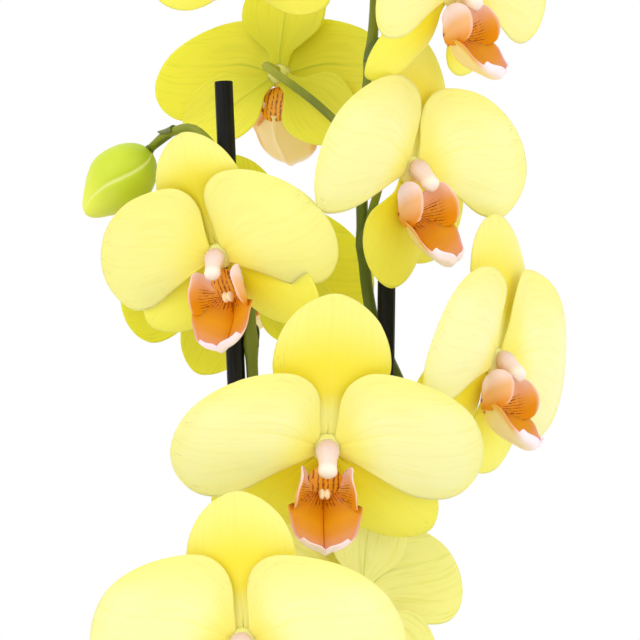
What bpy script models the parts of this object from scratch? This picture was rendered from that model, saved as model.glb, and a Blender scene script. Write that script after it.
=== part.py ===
"""A potted moth orchid: two staked flower spikes with yellow blooms and buds, strap leaves and aerial roots,
growing in bark in a plain tapered pot. Metres, +Z up, with the origin under the middle of the pot's foot."""

import math
import random

import bmesh
import bpy
from mathutils import Matrix, Vector

MM = 0.001
GAP = 0.3 * MM  # clearance between pieces that touch in the real plant

# ----------------------------------------------------------------------------------------------------
# Driving dimensions
# ----------------------------------------------------------------------------------------------------
POT_HEIGHT = 122 * MM
POT_FOOT_RADIUS = 43 * MM
POT_TOP_RADIUS = 59 * MM
POT_RIM_RADIUS = 63 * MM
POT_RIM_HEIGHT = 18 * MM
POT_WALL = 4.5 * MM
POT_FLOOR = 6 * MM
POT_SIDES = 32

BARK_TOP = 108 * MM
BARK_CHIPS = 10
BARK_CHIP_SIZE = (15 * MM, 9 * MM, 6 * MM)

STAKE_RADIUS = 2.65 * MM
STAKES = {  # foot and flat-cut top, in mm
    "left": ((-6.8, -20.0, 35.0), (-27.9, 3.0, 517.0)),
    "right": ((14.0, 20.0, 35.0), (19.4, 8.6, 461.0)),
}

# Each spike's line from the crown to its tip (mm), and the stem's radii along it.
SPIKES = {
    "left": [(-2.2, -11.1, 121), (-4.2, -14.4, 142), (-8.7, -12.2, 200), (-13.2, -7.4, 300), (-16.9, -3.4, 380),
             (-19.7, -1.0, 437), (-21.2, -1.8, 468), (-26.4, -4.2, 490), (-35.5, -2.0, 502.5), (-44.0, 5.5, 502),
             (-49.2, 11.4, 498.2)],
    "right": [(2.0, 11.2, 122), (5.6, 19.0, 152), (13.8, 21.6, 200), (20.0, 19.2, 280), (24.8, 16.0, 350),
              (26.6, 14.0, 400), (25.0, 13.6, 424), (15.5, 13.8, 448), (12.4, 12.4, 475), (13.0, 10.0, 505),
              (16.0, 8.5, 541), (14.5, 7.5, 566), (7.0, 5.0, 582), (-2.0, 1.0, 589)],
}
SPIKE_RADII = [2.3 * MM, 2.1 * MM, 1.95 * MM, 1.85 * MM, 1.7 * MM, 1.25 * MM]
PEDICEL_RADIUS = 1.25 * MM
LOWER_NODES = (172, 228, 288)  # heights of the bare nodes below the blooms, in mm

# Buds: where each hangs from its stalk (mm), the way its tip points, and its length and width (mm).
BUDS = {
    "left": dict(at=(-49.7, 12.0, 497.6), tip=(-0.70, 0.0, -0.71), size=(26.5, 19.0)),
    "right_1": dict(at=(14.5, -4.5, 586.0), tip=(0.15, -0.86, -0.45), size=(19.0, 13.5)),
    "right_2": dict(at=(-2.6, 0.8, 589.4), tip=(-0.80, -0.25, 0.35), size=(13.0, 9.0)),
}

# Leaves: the way each points (degrees from +X), the height of its foot, length, width (mm), and the slope of
# its midrib at its foot and at its tip (degrees).
LEAVES = {
    "1": dict(azimuth=-8, foot=122, length=168, width=66, rise=34, fall=-40),
    "2": dict(azimuth=173, foot=127, length=176, width=70, rise=40, fall=-42),
    "3": dict(azimuth=-3, foot=133, length=158, width=68, rise=50, fall=-30),
    "4": dict(azimuth=178, foot=139, length=146, width=66, rise=56, fall=-24),
    "5": dict(azimuth=-12, foot=146, length=112, width=52, rise=66, fall=0),
    "6": dict(azimuth=168, foot=152, length=74, width=34, rise=72, fall=30),
}
LEAF_THICKNESS = 2.0 * MM

# Aerial roots: each one's line from the crown (mm). Two of them dive into the bark.
ROOT_RADIUS = 2.5 * MM
ROOTS = [
    [(3, -4, 113), (13, -20, 118), (27, -44, 127.0), (37, -59, 128), (43, -70, 119), (45, -74, 101),
     (47, -74, 84)],
    [(-3, 5, 113), (-14, 20, 118), (-33, 40, 127.5), (-46, 54, 128), (-54, 61, 112)],
    [(-5, -1, 112), (-26, -3, 119), (-45, -3, 127.5), (-62, -2, 130), (-73, 1, 127), (-79, 5, 113)],
    [(-4, -3, 111), (-17, -10, 113), (-27, -18, 110), (-31, -23, 99), (-31, -25, 88)],
    [(5, 2, 111), (22, 10, 114), (32, 17, 110), (36, 20, 100), (36, 21, 88)],
]

TEPAL_THICKNESS = 0.8 * MM
LIP_THICKNESS = 0.8 * MM


# ----------------------------------------------------------------------------------------------------
# Small tools
# ----------------------------------------------------------------------------------------------------
def clear_scene():
    for item in list(bpy.data.objects):
        bpy.data.objects.remove(item)


def finish(name, colour, roughness, metallic=0.0):
    """A Principled material of one colour."""
    material = bpy.data.materials.new(name)
    material.use_nodes = True
    shader = material.node_tree.nodes["Principled BSDF"]
    shader.inputs["Base Color"].default_value = (*colour, 1.0)
    shader.inputs["Roughness"].default_value = roughness
    shader.inputs["Metallic"].default_value = metallic
    return material


def show(name, mesh, material, place=None):
    """Links a mesh as one named object."""
    item = bpy.data.objects.new(name, mesh)
    if not mesh.materials:
        mesh.materials.append(material)
    if place is not None:
        item.matrix_world = place
    bpy.context.scene.collection.objects.link(item)
    return item


def as_mesh(bm, name):
    mesh = bpy.data.meshes.new(name)
    bmesh.ops.recalc_face_normals(bm, faces=bm.faces[:])
    bm.to_mesh(mesh)
    bm.free()
    return mesh


def fuse(name, meshes, cutters=(), solver="MANIFOLD"):
    """One body from several closed meshes: a union with all but the first, then a cut by each cutter."""
    body = bpy.data.objects.new(name, meshes[0])
    bpy.context.scene.collection.objects.link(body)
    groups = []
    for operation, group in (("UNION", meshes[1:]), ("DIFFERENCE", cutters)):
        if not group:
            continue
        tools = bpy.data.collections.new(name + operation.lower())
        bpy.context.scene.collection.children.link(tools)
        for mesh in group:
            tools.objects.link(bpy.data.objects.new("tool", mesh))
        boolean = body.modifiers.new(operation.lower(), "BOOLEAN")
        boolean.operation = operation
        boolean.operand_type = "COLLECTION"
        boolean.collection = tools
        boolean.solver = solver
        groups.append(tools)
    graph = bpy.context.evaluated_depsgraph_get()
    joined = bpy.data.meshes.new_from_object(body.evaluated_get(graph))
    joined.name = name
    joined.materials.clear()
    for tools in groups:
        for tool in list(tools.objects):
            bpy.data.objects.remove(tool)
        bpy.data.collections.remove(tools)
    bpy.data.objects.remove(body)
    return joined


def smooth_line(points, count):
    """Count points, evenly spaced by length, on a Catmull-Rom curve through the given ones."""
    knots = [Vector(p) for p in points]
    knots = [2 * knots[0] - knots[1], *knots, 2 * knots[-1] - knots[-2]]
    dense = []
    for a, b, c, d in zip(knots, knots[1:], knots[2:], knots[3:]):
        for step in range(12):
            t = step / 12
            dense.append(0.5 * (2 * b + (c - a) * t + (2 * a - 5 * b + 4 * c - d) * t**2
                                + (3 * b - a - 3 * c + d) * t**3))
    dense.append(knots[-2])
    lengths = [0.0]
    for a, b in zip(dense, dense[1:]):
        lengths.append(lengths[-1] + (b - a).length)
    line, k = [], 0
    for step in range(count):
        want = lengths[-1] * step / (count - 1)
        while k < len(dense) - 2 and lengths[k + 1] < want:
            k += 1
        span = lengths[k + 1] - lengths[k]
        line.append(dense[k].lerp(dense[k + 1], (want - lengths[k]) / span if span else 0.0))
    return line


def tube(path, radii, resolution=2):
    """A closed round tube along the path, whose radius runs through the given ones; a resolution of 2 has
    8 sides and one of 1 has 6."""
    curve = bpy.data.curves.new("tube", "CURVE")
    curve.dimensions = "3D"
    curve.bevel_depth = 1.0
    curve.bevel_resolution = resolution
    curve.use_fill_caps = True
    spline = curve.splines.new("POLY")
    spline.points.add(len(path) - 1)
    for k, (point, place) in enumerate(zip(spline.points, path)):
        spot = k / (len(path) - 1) * (len(radii) - 1)
        low = min(int(spot), len(radii) - 2)
        point.co = (*place, 1.0)
        point.radius = radii[low] + (radii[low + 1] - radii[low]) * (spot - low)
    holder = bpy.data.objects.new("tube", curve)
    bpy.context.scene.collection.objects.link(holder)
    graph = bpy.context.evaluated_depsgraph_get()
    mesh = bpy.data.meshes.new_from_object(holder.evaluated_get(graph))
    bpy.data.objects.remove(holder)
    bm = bmesh.new()
    bm.from_mesh(mesh)
    bmesh.ops.remove_doubles(bm, verts=bm.verts[:], dist=0.001 * MM)
    return as_mesh(bm, "tube")


def patch(outline, first, last, samples=96):
    """A Coons patch inside an outline that starts and ends at the blade's foot: a function of (u, v), with u
    from the foot to the far edge and v across. The far edge is the outline from share first to share last."""
    line = smooth_line(outline, samples)

    def at(share):
        spot = min(max(share, 0.0), 1.0) * (samples - 1)
        low = min(int(spot), samples - 2)
        return line[low].lerp(line[low + 1], spot - low)

    foot_a, foot_b, far_a, far_b = at(0), at(1), at(first), at(last)

    def place(u, v):
        side_a, side_b = at(first * u), at(1 - (1 - last) * u)
        foot, far = foot_a.lerp(foot_b, v), at(first + (last - first) * v)
        corners = foot_a.lerp(foot_b, v) * (1 - u) + far_a.lerp(far_b, v) * u
        return side_a.lerp(side_b, v) + foot.lerp(far, u) - corners

    return place


def blade(surface, rows, columns, thickness):
    """A closed blade: a grid placed by surface(u, v), thickened alike on both faces."""
    bm = bmesh.new()
    bmesh.ops.create_grid(bm, x_segments=columns, y_segments=rows, size=0.5)
    shares = [(v.co.y + 0.5, v.co.x + 0.5) for v in bm.verts]
    for vert, (u, v) in zip(bm.verts, shares):
        vert.co = surface(u, v)
    bmesh.ops.triangulate(bm, faces=bm.faces[:])
    bm.normal_update()
    offsets = [vert.normal * (thickness(u, v) if callable(thickness) else thickness) / 2
               for vert, (u, v) in zip(bm.verts, shares)]
    front = bm.verts[:]
    rim = [edge for edge in bm.edges if edge.is_boundary]
    twin = bmesh.ops.duplicate(bm, geom=bm.verts[:] + bm.edges[:] + bm.faces[:])["vert_map"]
    for vert, offset in zip(front, offsets):
        twin[vert].co -= offset
        vert.co += offset
    for edge in rim:
        a, b = edge.verts
        bm.faces.new((a, b, twin[b], twin[a]))
    return as_mesh(bm, "blade")


def ellipsoid(centre, radii, segments=6, rings=4):
    bm = bmesh.new()
    bmesh.ops.create_uvsphere(bm, u_segments=segments, v_segments=rings, radius=1.0,
                              matrix=Matrix.Translation(centre) @ Matrix.Diagonal((*radii, 1.0)))
    return as_mesh(bm, "ellipsoid")


def rod(foot, top, radius, sides=12):
    """A straight round rod with flat ends."""
    bm = bmesh.new()
    turn = (top - foot).to_track_quat("Z", "X").to_matrix().to_4x4()
    bmesh.ops.create_cone(bm, cap_ends=True, segments=sides, radius1=radius, radius2=radius,
                          depth=(top - foot).length, matrix=Matrix.Translation((foot + top) / 2) @ turn)
    return as_mesh(bm, "rod")


def largest_shell(mesh):
    """The mesh without any crumbs that a cut has parted from its main body."""
    bm = bmesh.new()
    bm.from_mesh(mesh)
    left, shells = set(bm.verts), []
    while left:
        front = [left.pop()]
        shell = set(front)
        while front:
            for edge in front.pop().link_edges:
                for vert in edge.verts:
                    if vert in left:
                        left.remove(vert)
                        shell.add(vert)
                        front.append(vert)
        shells.append(shell)
    shells.sort(key=len)
    bmesh.ops.delete(bm, geom=[vert for shell in shells[:-1] for vert in shell], context="VERTS")
    return as_mesh(bm, mesh.name)


def turned(profile, sides):
    """A solid turned about Z from a profile of (radius, height) in mm that starts and ends on the axis."""
    bm = bmesh.new()
    verts = [bm.verts.new((radius * MM, 0, height * MM)) for radius, height in profile]
    edges = [bm.edges.new(pair) for pair in zip(verts, verts[1:])]
    bmesh.ops.spin(bm, geom=verts + edges, cent=(0, 0, 0), axis=(0, 0, 1), angle=2 * math.pi,
                   steps=sides, use_merge=True)
    bmesh.ops.remove_doubles(bm, verts=bm.verts[:], dist=0.01 * MM)
    return as_mesh(bm, "turned")


# ----------------------------------------------------------------------------------------------------
# One bloom, in its own frame: it faces -Y, its dorsal sepal points to +Z, and its tepals meet at the origin.
# Depths are given forwards, so a depth d stands at y = -d.
# ----------------------------------------------------------------------------------------------------
PETAL_OUTLINE = [(2.2, 2.6), (2.6, 9.0), (3.2, 15.5), (6.2, 20.4), (12.5, 22.6), (22.5, 21.0), (32.4, 16.0),
                 (39.8, 8.4), (43.2, -1.5), (41.4, -10.2), (35.2, -15.6), (26.2, -14.3), (16.0, -8.1),
                 (7.5, -3.3), (2.2, -1.4)]
SEPAL_HALF = [(2.0, 3.2), (8.0, 4.6), (12.0, 9.0), (16.0, 13.8), (20.4, 16.0), (25.5, 16.3), (31.5, 14.9),
              (37.5, 11.6), (42.2, 6.4)]
SEPAL_LENGTH = 44.5
SEPAL_OUTLINE = [*SEPAL_HALF, (SEPAL_LENGTH, 0.0), *[(x, -z) for x, z in reversed(SEPAL_HALF)]]
LATERAL_LENGTH_SHARE = 0.93
LATERAL_WIDTH_SHARE = 0.84


def rounded(share):
    share = min(max(share, 0.0), 1.0)
    return share * share * (3 - 2 * share)


def petal_surface(shape, side):
    """The wide petal on one side (+1 right, -1 left): domed forwards, its far end swept back."""
    lift, sweep, breadth, reach = [shape[key][side > 0] for key in ("lift", "sweep", "breadth", "reach")]
    plane = patch([(x * reach, z * breadth, 0) for x, z in PETAL_OUTLINE], 0.34, 0.66)
    turn = Matrix.Rotation(math.radians(lift), 3, "Z")

    def surface(u, v):
        spot = plane(u, v)
        along = spot.x / 43.0
        across = (spot.y - 3.5 + 0.10 * spot.x) / 18.0
        depth = 0.3 + 1.5 * rounded(along / 0.2) + 3.4 * math.sin(math.pi * min(along, 1.0)) ** 1.2
        depth -= sweep * along**2 + 2.2 * across**2 * rounded(along / 0.25)
        turned_spot = turn @ spot
        return Vector((side * turned_spot.x, -depth, turned_spot.y)) * MM

    return surface


def sepal_surface(angle, length_share, width_share, dome, reflex, side=1):
    """A sepal whose axis points at the angle above the horizontal, on one side."""
    plane = patch([(x * length_share, z * width_share, 0) for x, z in SEPAL_OUTLINE], 0.36, 0.64)
    turn = Matrix.Rotation(math.radians(angle), 3, "Z")
    length = SEPAL_LENGTH * length_share

    def surface(u, v):
        spot = plane(u, v)
        along = spot.x / length
        across = spot.y / (16.3 * width_share)
        depth = -0.9 - 0.8 * rounded(along / 0.25) + dome * math.sin(math.pi * min(along, 1.0))
        depth -= reflex * along**2 + 2.4 * across**2 * rounded(along / 0.3)
        turned_spot = turn @ spot
        return Vector((side * turned_spot.x, -depth, turned_spot.y)) * MM

    return surface


def tepals_mesh(shape):
    """The three sepals and two petals, fused at the receptacle behind the column."""
    size, lateral_size = shape["sepals"]
    blades = [
        ellipsoid((0, 0.9 * MM, 0.2 * MM), (3.6 * MM, 2.4 * MM, 3.6 * MM)),
        blade(sepal_surface(90, size, size, 1.6, shape["reflex"]), 4, 4, TEPAL_THICKNESS),
    ]
    for side in (-1, 1):
        spread, angle, plump = [shape[key][side > 0] for key in ("spread", "laterals", "plump")]
        length_share = LATERAL_LENGTH_SHARE * lateral_size
        width_share = LATERAL_WIDTH_SHARE * lateral_size * plump
        lateral = sepal_surface(-angle, length_share, width_share, 1.4, spread, side)
        blades.append(blade(petal_surface(shape, side), 4, 4, TEPAL_THICKNESS))
        blades.append(blade(lateral, 3, 4, TEPAL_THICKNESS))
    return fuse("tepals", blades)


def column_mesh():
    """The column: a short stout rod that leans forwards and down, with a rounded anther cap."""
    foot, tip = Vector((0, -2.7, 0.9)) * MM, Vector((0, -10.8, -3.6)) * MM
    steps = [(0.0, 2.2), (0.2, 2.7), (0.55, 2.55), (0.82, 2.8), (0.95, 2.1), (1.0, 1.0)]
    return tube([foot.lerp(tip, share) for share, _ in steps], [radius * MM for _, radius in steps], 1)


MIDLOBE_HALF = [(0.0, 4.6), (2.4, 6.8), (4.6, 9.2), (6.8, 11.2), (9.4, 10.9), (13.2, 9.2), (17.0, 7.2),
                (20.2, 5.2)]
MIDLOBE_LENGTH = 21.8
MIDLOBE_OUTLINE = [*MIDLOBE_HALF, (MIDLOBE_LENGTH, 0.0), *[(x, -z) for x, z in reversed(MIDLOBE_HALF)]]
SIDE_LOBE_OUTLINE = [(1.6, -10.4), (2.2, -7.0), (5.0, -4.2), (9.0, -3.9), (12.2, -6.4), (13.2, -10.0),
                     (11.6, -13.0), (7.4, -14.6), (2.8, -14.2)]
LIP_MIDDLE = (0.0, -5.0, -11.0)  # the point that a lip's own size is measured from


def midlobe_spine(length):
    """Depth and height of the lip's front lobe at a length along its spine: down, then forwards, then up."""
    depth, height, step = 1.7, -14.0, 0.5
    position = 0.0
    while position < length - 1e-9:
        stride = min(step, length - position)
        slope = math.radians(-50 + 34 * rounded(position / 11) + 44 * rounded((position - 15) / 6))
        depth += math.cos(slope) * stride
        height += math.sin(slope) * stride
        position += stride
    return depth, height


def midlobe_surface(u, v):
    spot = MIDLOBE_PLANE(u, v)
    depth, height = midlobe_spine(max(spot.x, 0.0))
    ahead_depth, ahead_height = midlobe_spine(max(spot.x, 0.0) + 0.5)
    normal = Vector((-(ahead_height - height), ahead_depth - depth)).normalized()  # up and backwards
    fold = math.radians(34 - 20 * rounded((spot.x - 7) / 12))
    rise = abs(spot.y) * math.sin(fold)
    return Vector((spot.y * math.cos(fold), -(depth + normal.x * rise), height + normal.y * rise)) * MM


def side_lobe_surface(side):
    plane = patch([(x, z, 0) for x, z in SIDE_LOBE_OUTLINE], 0.33, 0.67)

    def surface(u, v):
        spot = plane(u, v)
        low = rounded((-4 - spot.y) / 10)
        spread = 2.8 + (3.6 + 1.8 * low) * math.sin(math.pi / 2 * min(u, 1.0)) ** 0.8
        return Vector((side * spread, -spot.x, spot.y)) * MM

    return surface


MIDLOBE_PLANE = patch([(x, z, 0) for x, z in MIDLOBE_OUTLINE], 0.40, 0.60)


def lip_mesh(size, width_share):
    """The lip: a claw, two side lobes standing like ears beside the column, and a pointed front lobe."""
    pieces = [
        ellipsoid(Vector((0, -2.5, -10.4)) * MM, (4.8 * MM, 1.2 * MM, 5.0 * MM)),
        blade(midlobe_surface, 4, 4, LIP_THICKNESS),
        blade(side_lobe_surface(1), 3, 2, LIP_THICKNESS),
        blade(side_lobe_surface(-1), 3, 2, LIP_THICKNESS),
    ]
    middle = Matrix.Translation(Vector(LIP_MIDDLE) * MM)
    lip = fuse("lip", pieces)
    growth = Matrix.Diagonal((size * width_share, size, size, 1))
    lip.transform(middle @ growth @ middle.inverted())
    return lip


# Each bloom: where its parts meet (mm), the degrees it yaws towards +X, nods down and rolls to its right,
# and its scale. Then, for its left and right sides, the petals' lift (degrees), backward sweep (mm), breadth
# and reach, and the lateral sepals' backward sweep (mm), angle below level and plumpness. Last, the dorsal
# sepal's backward sweep (mm), the size of the dorsal and of the lateral sepals, and the lip's size and
# share of its full width.
BLOOMS = {
    "left_1": dict(at=(-20.9, -46, 359.2), yaw=-10, nod=13, roll=-1, scale=1.03, lift=(4, 4),
                   sweep=(5.7, 5.7), breadth=(1.05, 1.05), reach=(1.0, 1.0), spread=(3.4, 3.4),
                   laterals=(38, 38), reflex=2.4, sepals=(0.92, 0.92), plump=(1.0, 1.0), lip=(1.08, 1.0)),
    "left_2": dict(at=(11.0, -9.0, 366.8), yaw=214, nod=2, roll=-8, scale=0.83, lift=(22, 22),
                   sweep=(3.9, 3.9), breadth=(1.06, 1.06), reach=(1.0, 1.0), spread=(3.4, 3.4),
                   laterals=(38, 38), reflex=2.5, sepals=(0.96, 0.96), plump=(1.0, 1.0), lip=(1.0, 1.0)),
    "left_3": dict(at=(1.9, -30, 412.5), yaw=3, nod=26, roll=2.5, scale=1.01, lift=(0, 1), sweep=(2.0, 4.0),
                   breadth=(1.02, 1.03), reach=(1.0, 1.02), spread=(5.0, 2.0), laterals=(47, 41), reflex=4.0,
                   sepals=(1.0, 1.0), plump=(0.95, 0.95), lip=(1.10, 1.0)),
    "left_4": dict(at=(-22.1, 31, 462.0), yaw=189, nod=-3, roll=10, scale=0.89, lift=(-12, -2),
                   sweep=(4.2, 4.2), breadth=(1.05, 1.05), reach=(1.0, 1.0), spread=(2.9, 2.9),
                   laterals=(45, 53), reflex=5.4, sepals=(0.90, 0.90), plump=(1.0, 1.0), lip=(1.0, 1.0)),
    "left_5": dict(at=(-28.4, -22, 466.2), yaw=-19, nod=23, roll=-12, scale=0.88, lift=(8.0, 2),
                   sweep=(5.0, 16.0), breadth=(1.08, 1.17), reach=(0.99, 0.85), spread=(-1.0, -1.8),
                   laterals=(30, 46), reflex=4.0, sepals=(0.92, 0.90), plump=(0.97, 0.93), lip=(1.26, 0.92)),
    "right_1": dict(at=(50.1, 3, 435.9), yaw=54, nod=8, roll=13.5, scale=0.98, lift=(-1, 6.5),
                    sweep=(-4.5, 2.5), breadth=(1.14, 1.29), reach=(1.0, 0.98), spread=(5.0, 6.0),
                    laterals=(50, 45), reflex=9.0, sepals=(0.99, 0.95), plump=(1.18, 1.22), lip=(1.14, 0.9)),
    "right_2": dict(at=(25.8, -2.5, 491.0), yaw=42, nod=11, roll=-1, scale=0.99, lift=(10.5, 6),
                    sweep=(-6.0, -5.0), breadth=(1.14, 1.04), reach=(0.99, 0.94), spread=(-2.0, 4.0),
                    laterals=(86, 46), reflex=6.0, sepals=(0.90, 0.84), plump=(1.05, 1.30), lip=(1.22, 0.8)),
    "right_3": dict(at=(-12.4, 37, 521.3), yaw=160, nod=18, roll=-1, scale=0.87, lift=(-4, -4),
                    sweep=(7.0, 7.0), breadth=(0.97, 0.97), reach=(1.0, 1.0), spread=(1.0, 1.0),
                    laterals=(38, 38), reflex=1.5, sepals=(0.93, 0.93), plump=(1.0, 1.0), lip=(1.28, 1.0)),
    "right_4": dict(at=(37.0, -12, 541.4), yaw=52, nod=8, roll=-2, scale=0.97, lift=(6, 5),
                    sweep=(-4.0, -3.0), breadth=(1.10, 1.06), reach=(0.96, 1.0), spread=(8.0, 5.0),
                    laterals=(48, 30), reflex=4.2, sepals=(0.90, 0.86), plump=(0.72, 1.30), lip=(1.14, 0.82)),
    "right_5": dict(at=(-24.0, -6, 560.0), yaw=-24, nod=8, roll=4, scale=0.86, lift=(2, 2), sweep=(5.0, 5.0),
                    breadth=(1.04, 1.04), reach=(1.0, 1.0), spread=(3.0, 3.0), laterals=(38, 38), reflex=4.0,
                    sepals=(0.96, 0.96), plump=(1.0, 1.0), lip=(1.05, 1.0)),
}


def bloom_place(shape):
    yaw = Matrix.Rotation(math.radians(shape["yaw"]), 4, "Z")
    nod = Matrix.Rotation(math.radians(shape["nod"]), 4, "X")
    roll = Matrix.Rotation(math.radians(shape["roll"]), 4, "Y")
    size = Matrix.Scale(shape["scale"], 4)
    return Matrix.Translation(Vector(shape["at"]) * MM) @ yaw @ nod @ roll @ size


def build_blooms(finishes):
    column = column_mesh()
    for name, shape in BLOOMS.items():
        place = bloom_place(shape)
        show(f"bloom_{name}_tepals", tepals_mesh(shape), finishes["tepal"], place)
        show(f"bloom_{name}_column", column, finishes["column"], place)
        show(f"bloom_{name}_lip", lip_mesh(*shape["lip"]), finishes["lip"], place)


# ----------------------------------------------------------------------------------------------------
# Spikes: the stem, a bump with a small bract at each node, and a stalk to each bloom and bud
# ----------------------------------------------------------------------------------------------------
NODES = {  # height (mm) on the spike at which each bloom's stalk leaves it
    "left_1": 334, "left_2": 347, "left_3": 392, "left_4": 441, "left_5": 455,
    "right_1": 414, "right_2": 470, "right_3": 498, "right_4": 524, "right_5": 560,
}

STALK_WAYS = {"left_2": [(-8, -21, 342), (6, -32, 349), (16, -26, 360)]}  # it curls round under its bloom


def spike_line(side):
    return smooth_line([Vector(p) * MM for p in SPIKES[side]], 19)


def at_height(line, height):
    for a, b in zip(line, line[1:]):
        if a.z <= height * MM <= b.z:
            return a.lerp(b, (height * MM - a.z) / (b.z - a.z))
    return line[-1]


def stalk_line(line, name):
    """The bloom's stalk: out of the spike, then forwards to meet the back of the bloom squarely."""
    start, place = at_height(line, NODES[name]), bloom_place(BLOOMS[name])
    end = place @ (Vector((0, 3.75, 0.2)) * MM)
    behind = place @ (Vector((0, 10.0, -1.5)) * MM)
    way = [Vector(p) * MM for p in STALK_WAYS.get(name, ())]
    if not way:
        way = [start.lerp(behind, 0.5) + Vector((0, 0, 1.5 * MM))]
    return smooth_line([start, *way, behind, end], 6 + 2 * (len(way) - 1))


def build_spikes(finishes):
    for side in ("left", "right"):
        line = spike_line(side)
        parts = [tube(line, SPIKE_RADII)]
        for height in LOWER_NODES:
            spot = at_height(line, height) + Vector((0.7, 0.3 if side == "right" else -0.3, 0)) * MM
            parts.append(ellipsoid(spot, (2.5 * MM, 2.7 * MM, 4.6 * MM)))
        for name in BLOOMS:
            if not name.startswith(side):
                continue
            stalk = stalk_line(line, name)
            parts.append(tube(stalk, [1.5 * MM, PEDICEL_RADIUS, PEDICEL_RADIUS, PEDICEL_RADIUS], 1))
            bract = stalk[0].lerp(stalk[1], 0.22) - Vector((0, 0, 0.8 * MM))
            parts.append(ellipsoid(bract, (2.1 * MM, 2.2 * MM, 3.2 * MM)))
        if side == "right":
            start, bud = at_height(line, 566), BUDS["right_1"]
            tip = Vector(bud["tip"]).normalized()
            end = Vector(bud["at"]) * MM - tip * 0.5 * MM
            behind = Vector(bud["at"]) * MM - tip * 4.0 * MM
            stalk = smooth_line([start, start.lerp(behind, 0.6), behind, end], 8)
            parts.append(tube(stalk, [1.2 * MM, 1.1 * MM], 1))
        show(f"spike_{side}", fuse(f"spike_{side}", parts), finishes["spike"])


def bud_mesh(length, width):
    """A pointed ovoid that hangs from the origin along -Z."""
    bm = bmesh.new()
    bmesh.ops.create_uvsphere(bm, u_segments=10, v_segments=7, radius=0.5)
    for vert in bm.verts:
        down = 0.5 - vert.co.z
        slim = 1.0 - 0.35 * rounded((down - 0.45) / 0.55)
        vert.co = Vector((vert.co.x * width * slim, vert.co.y * width * slim, -down * length)) * MM
    return as_mesh(bm, "bud")


def build_buds(finishes):
    for name, bud in BUDS.items():
        turn = Vector(bud["tip"]).to_track_quat("-Z", "X").to_matrix().to_4x4()
        place = Matrix.Translation(Vector(bud["at"]) * MM) @ turn
        show(f"bud_{name}", bud_mesh(*bud["size"]), finishes["bud"], place)


def build_stakes(finishes):
    for side in STAKES:
        show(f"stake_{side}", rod(*[Vector(p) * MM for p in STAKES[side]], STAKE_RADIUS), finishes["stake"])


# ----------------------------------------------------------------------------------------------------
# Crown, leaves and aerial roots
# ----------------------------------------------------------------------------------------------------
CROWN_PROFILE = [(0, 98), (6.0, 98), (7.5, 106), (8.2, 116), (8.0, 123), (7.2, 137), (6.0, 151), (4.2, 160),
                 (0, 163)]


def crown_radius(height):
    for (r1, z1), (r2, z2) in zip(CROWN_PROFILE[1:], CROWN_PROFILE[2:]):
        if z1 <= height <= z2:
            return r1 + (r2 - r1) * (height - z1) / (z2 - z1)
    return CROWN_PROFILE[1][0]


def leaf_surface(leaf):
    length, width = leaf["length"], leaf["width"]
    half = [(0, 0.11), (0.10, 0.17), (0.28, 0.34), (0.50, 0.47), (0.70, 0.50), (0.86, 0.40), (0.95, 0.24)]
    outline = [(x * length, z * width, 0) for x, z in half]
    outline = [*outline, (length, 0, 0), *[(x, -z, 0) for x, z, _ in reversed(outline)]]
    plane = patch(outline, 0.40, 0.60)
    wrap = crown_radius(leaf["foot"]) + GAP / MM + LEAF_THICKNESS / MM / 2 + 0.4
    turn = Matrix.Rotation(math.radians(leaf["azimuth"]), 3, "Z")
    steps = 60
    rib = [Vector((0.0, 0.0))]
    bend = leaf["fall"] - leaf["rise"]
    slopes = [math.radians(leaf["rise"] + bend * rounded(k / steps)) for k in range(steps)]
    for slope in slopes:
        rib.append(rib[-1] + Vector((math.cos(slope), math.sin(slope))) * length / steps)

    def surface(u, v):
        spot = plane(u, v)
        share = min(max(spot.x / length, 0.0), 1.0)
        low = min(int(share * steps), steps - 1)
        point = rib[low].lerp(rib[low + 1], share * steps - low)
        slope = slopes[low]
        fold = abs(spot.y) * (0.55 - 0.42 * rounded(share / 0.5))
        across = spot.y * (0.86 + 0.14 * rounded(share / 0.5))
        clasp = (wrap - math.sqrt(max(wrap**2 - across**2, 0.0))) * max(0.0, 1 - spot.x / 14)
        out = wrap - clasp + point.x - math.sin(slope) * fold * rounded((spot.x - 4) / 24)
        up = leaf["foot"] + point.y + math.cos(slope) * fold
        return turn @ Vector((out, across, up)) * MM

    return surface


def build_leaves(finishes):
    for name, leaf in LEAVES.items():
        rows = 8 if leaf["length"] > 100 else 6
        mesh = blade(leaf_surface(leaf), rows, 4, LEAF_THICKNESS)
        show(f"leaf_{name}", mesh, finishes["leaf"])


def root_tubes(extra=0.0):
    """The aerial roots, or with some extra radius and length the holes that clear them."""
    tubes = []
    for root in ROOTS:
        line = smooth_line([Vector(p) * MM for p in root], 10)
        line[-1] += (line[-1] - line[-2]).normalized() * extra
        tubes.append(tube(line, [ROOT_RADIUS + extra] * 5 + [ROOT_RADIUS * 0.55 + extra], 1))
    return tubes


def crown_mesh(extra=0.0):
    low = CROWN_PROFILE[1][1]
    return turned([(r + extra / MM if r else 0, z - extra / MM * (z <= low)) for r, z in CROWN_PROFILE], 14)


def build_crown(finishes):
    show("crown_with_roots", fuse("crown_with_roots", [crown_mesh(), *root_tubes()]), finishes["root"])


# ----------------------------------------------------------------------------------------------------
# Pot and bark
# ----------------------------------------------------------------------------------------------------
def pot_inner_radius(height):
    foot, top = POT_FOOT_RADIUS - POT_WALL + 1.5 * MM, POT_TOP_RADIUS - POT_WALL + 0.5 * MM
    return foot + (top - foot) * (height - POT_FLOOR) / (POT_HEIGHT - POT_FLOOR)


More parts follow.
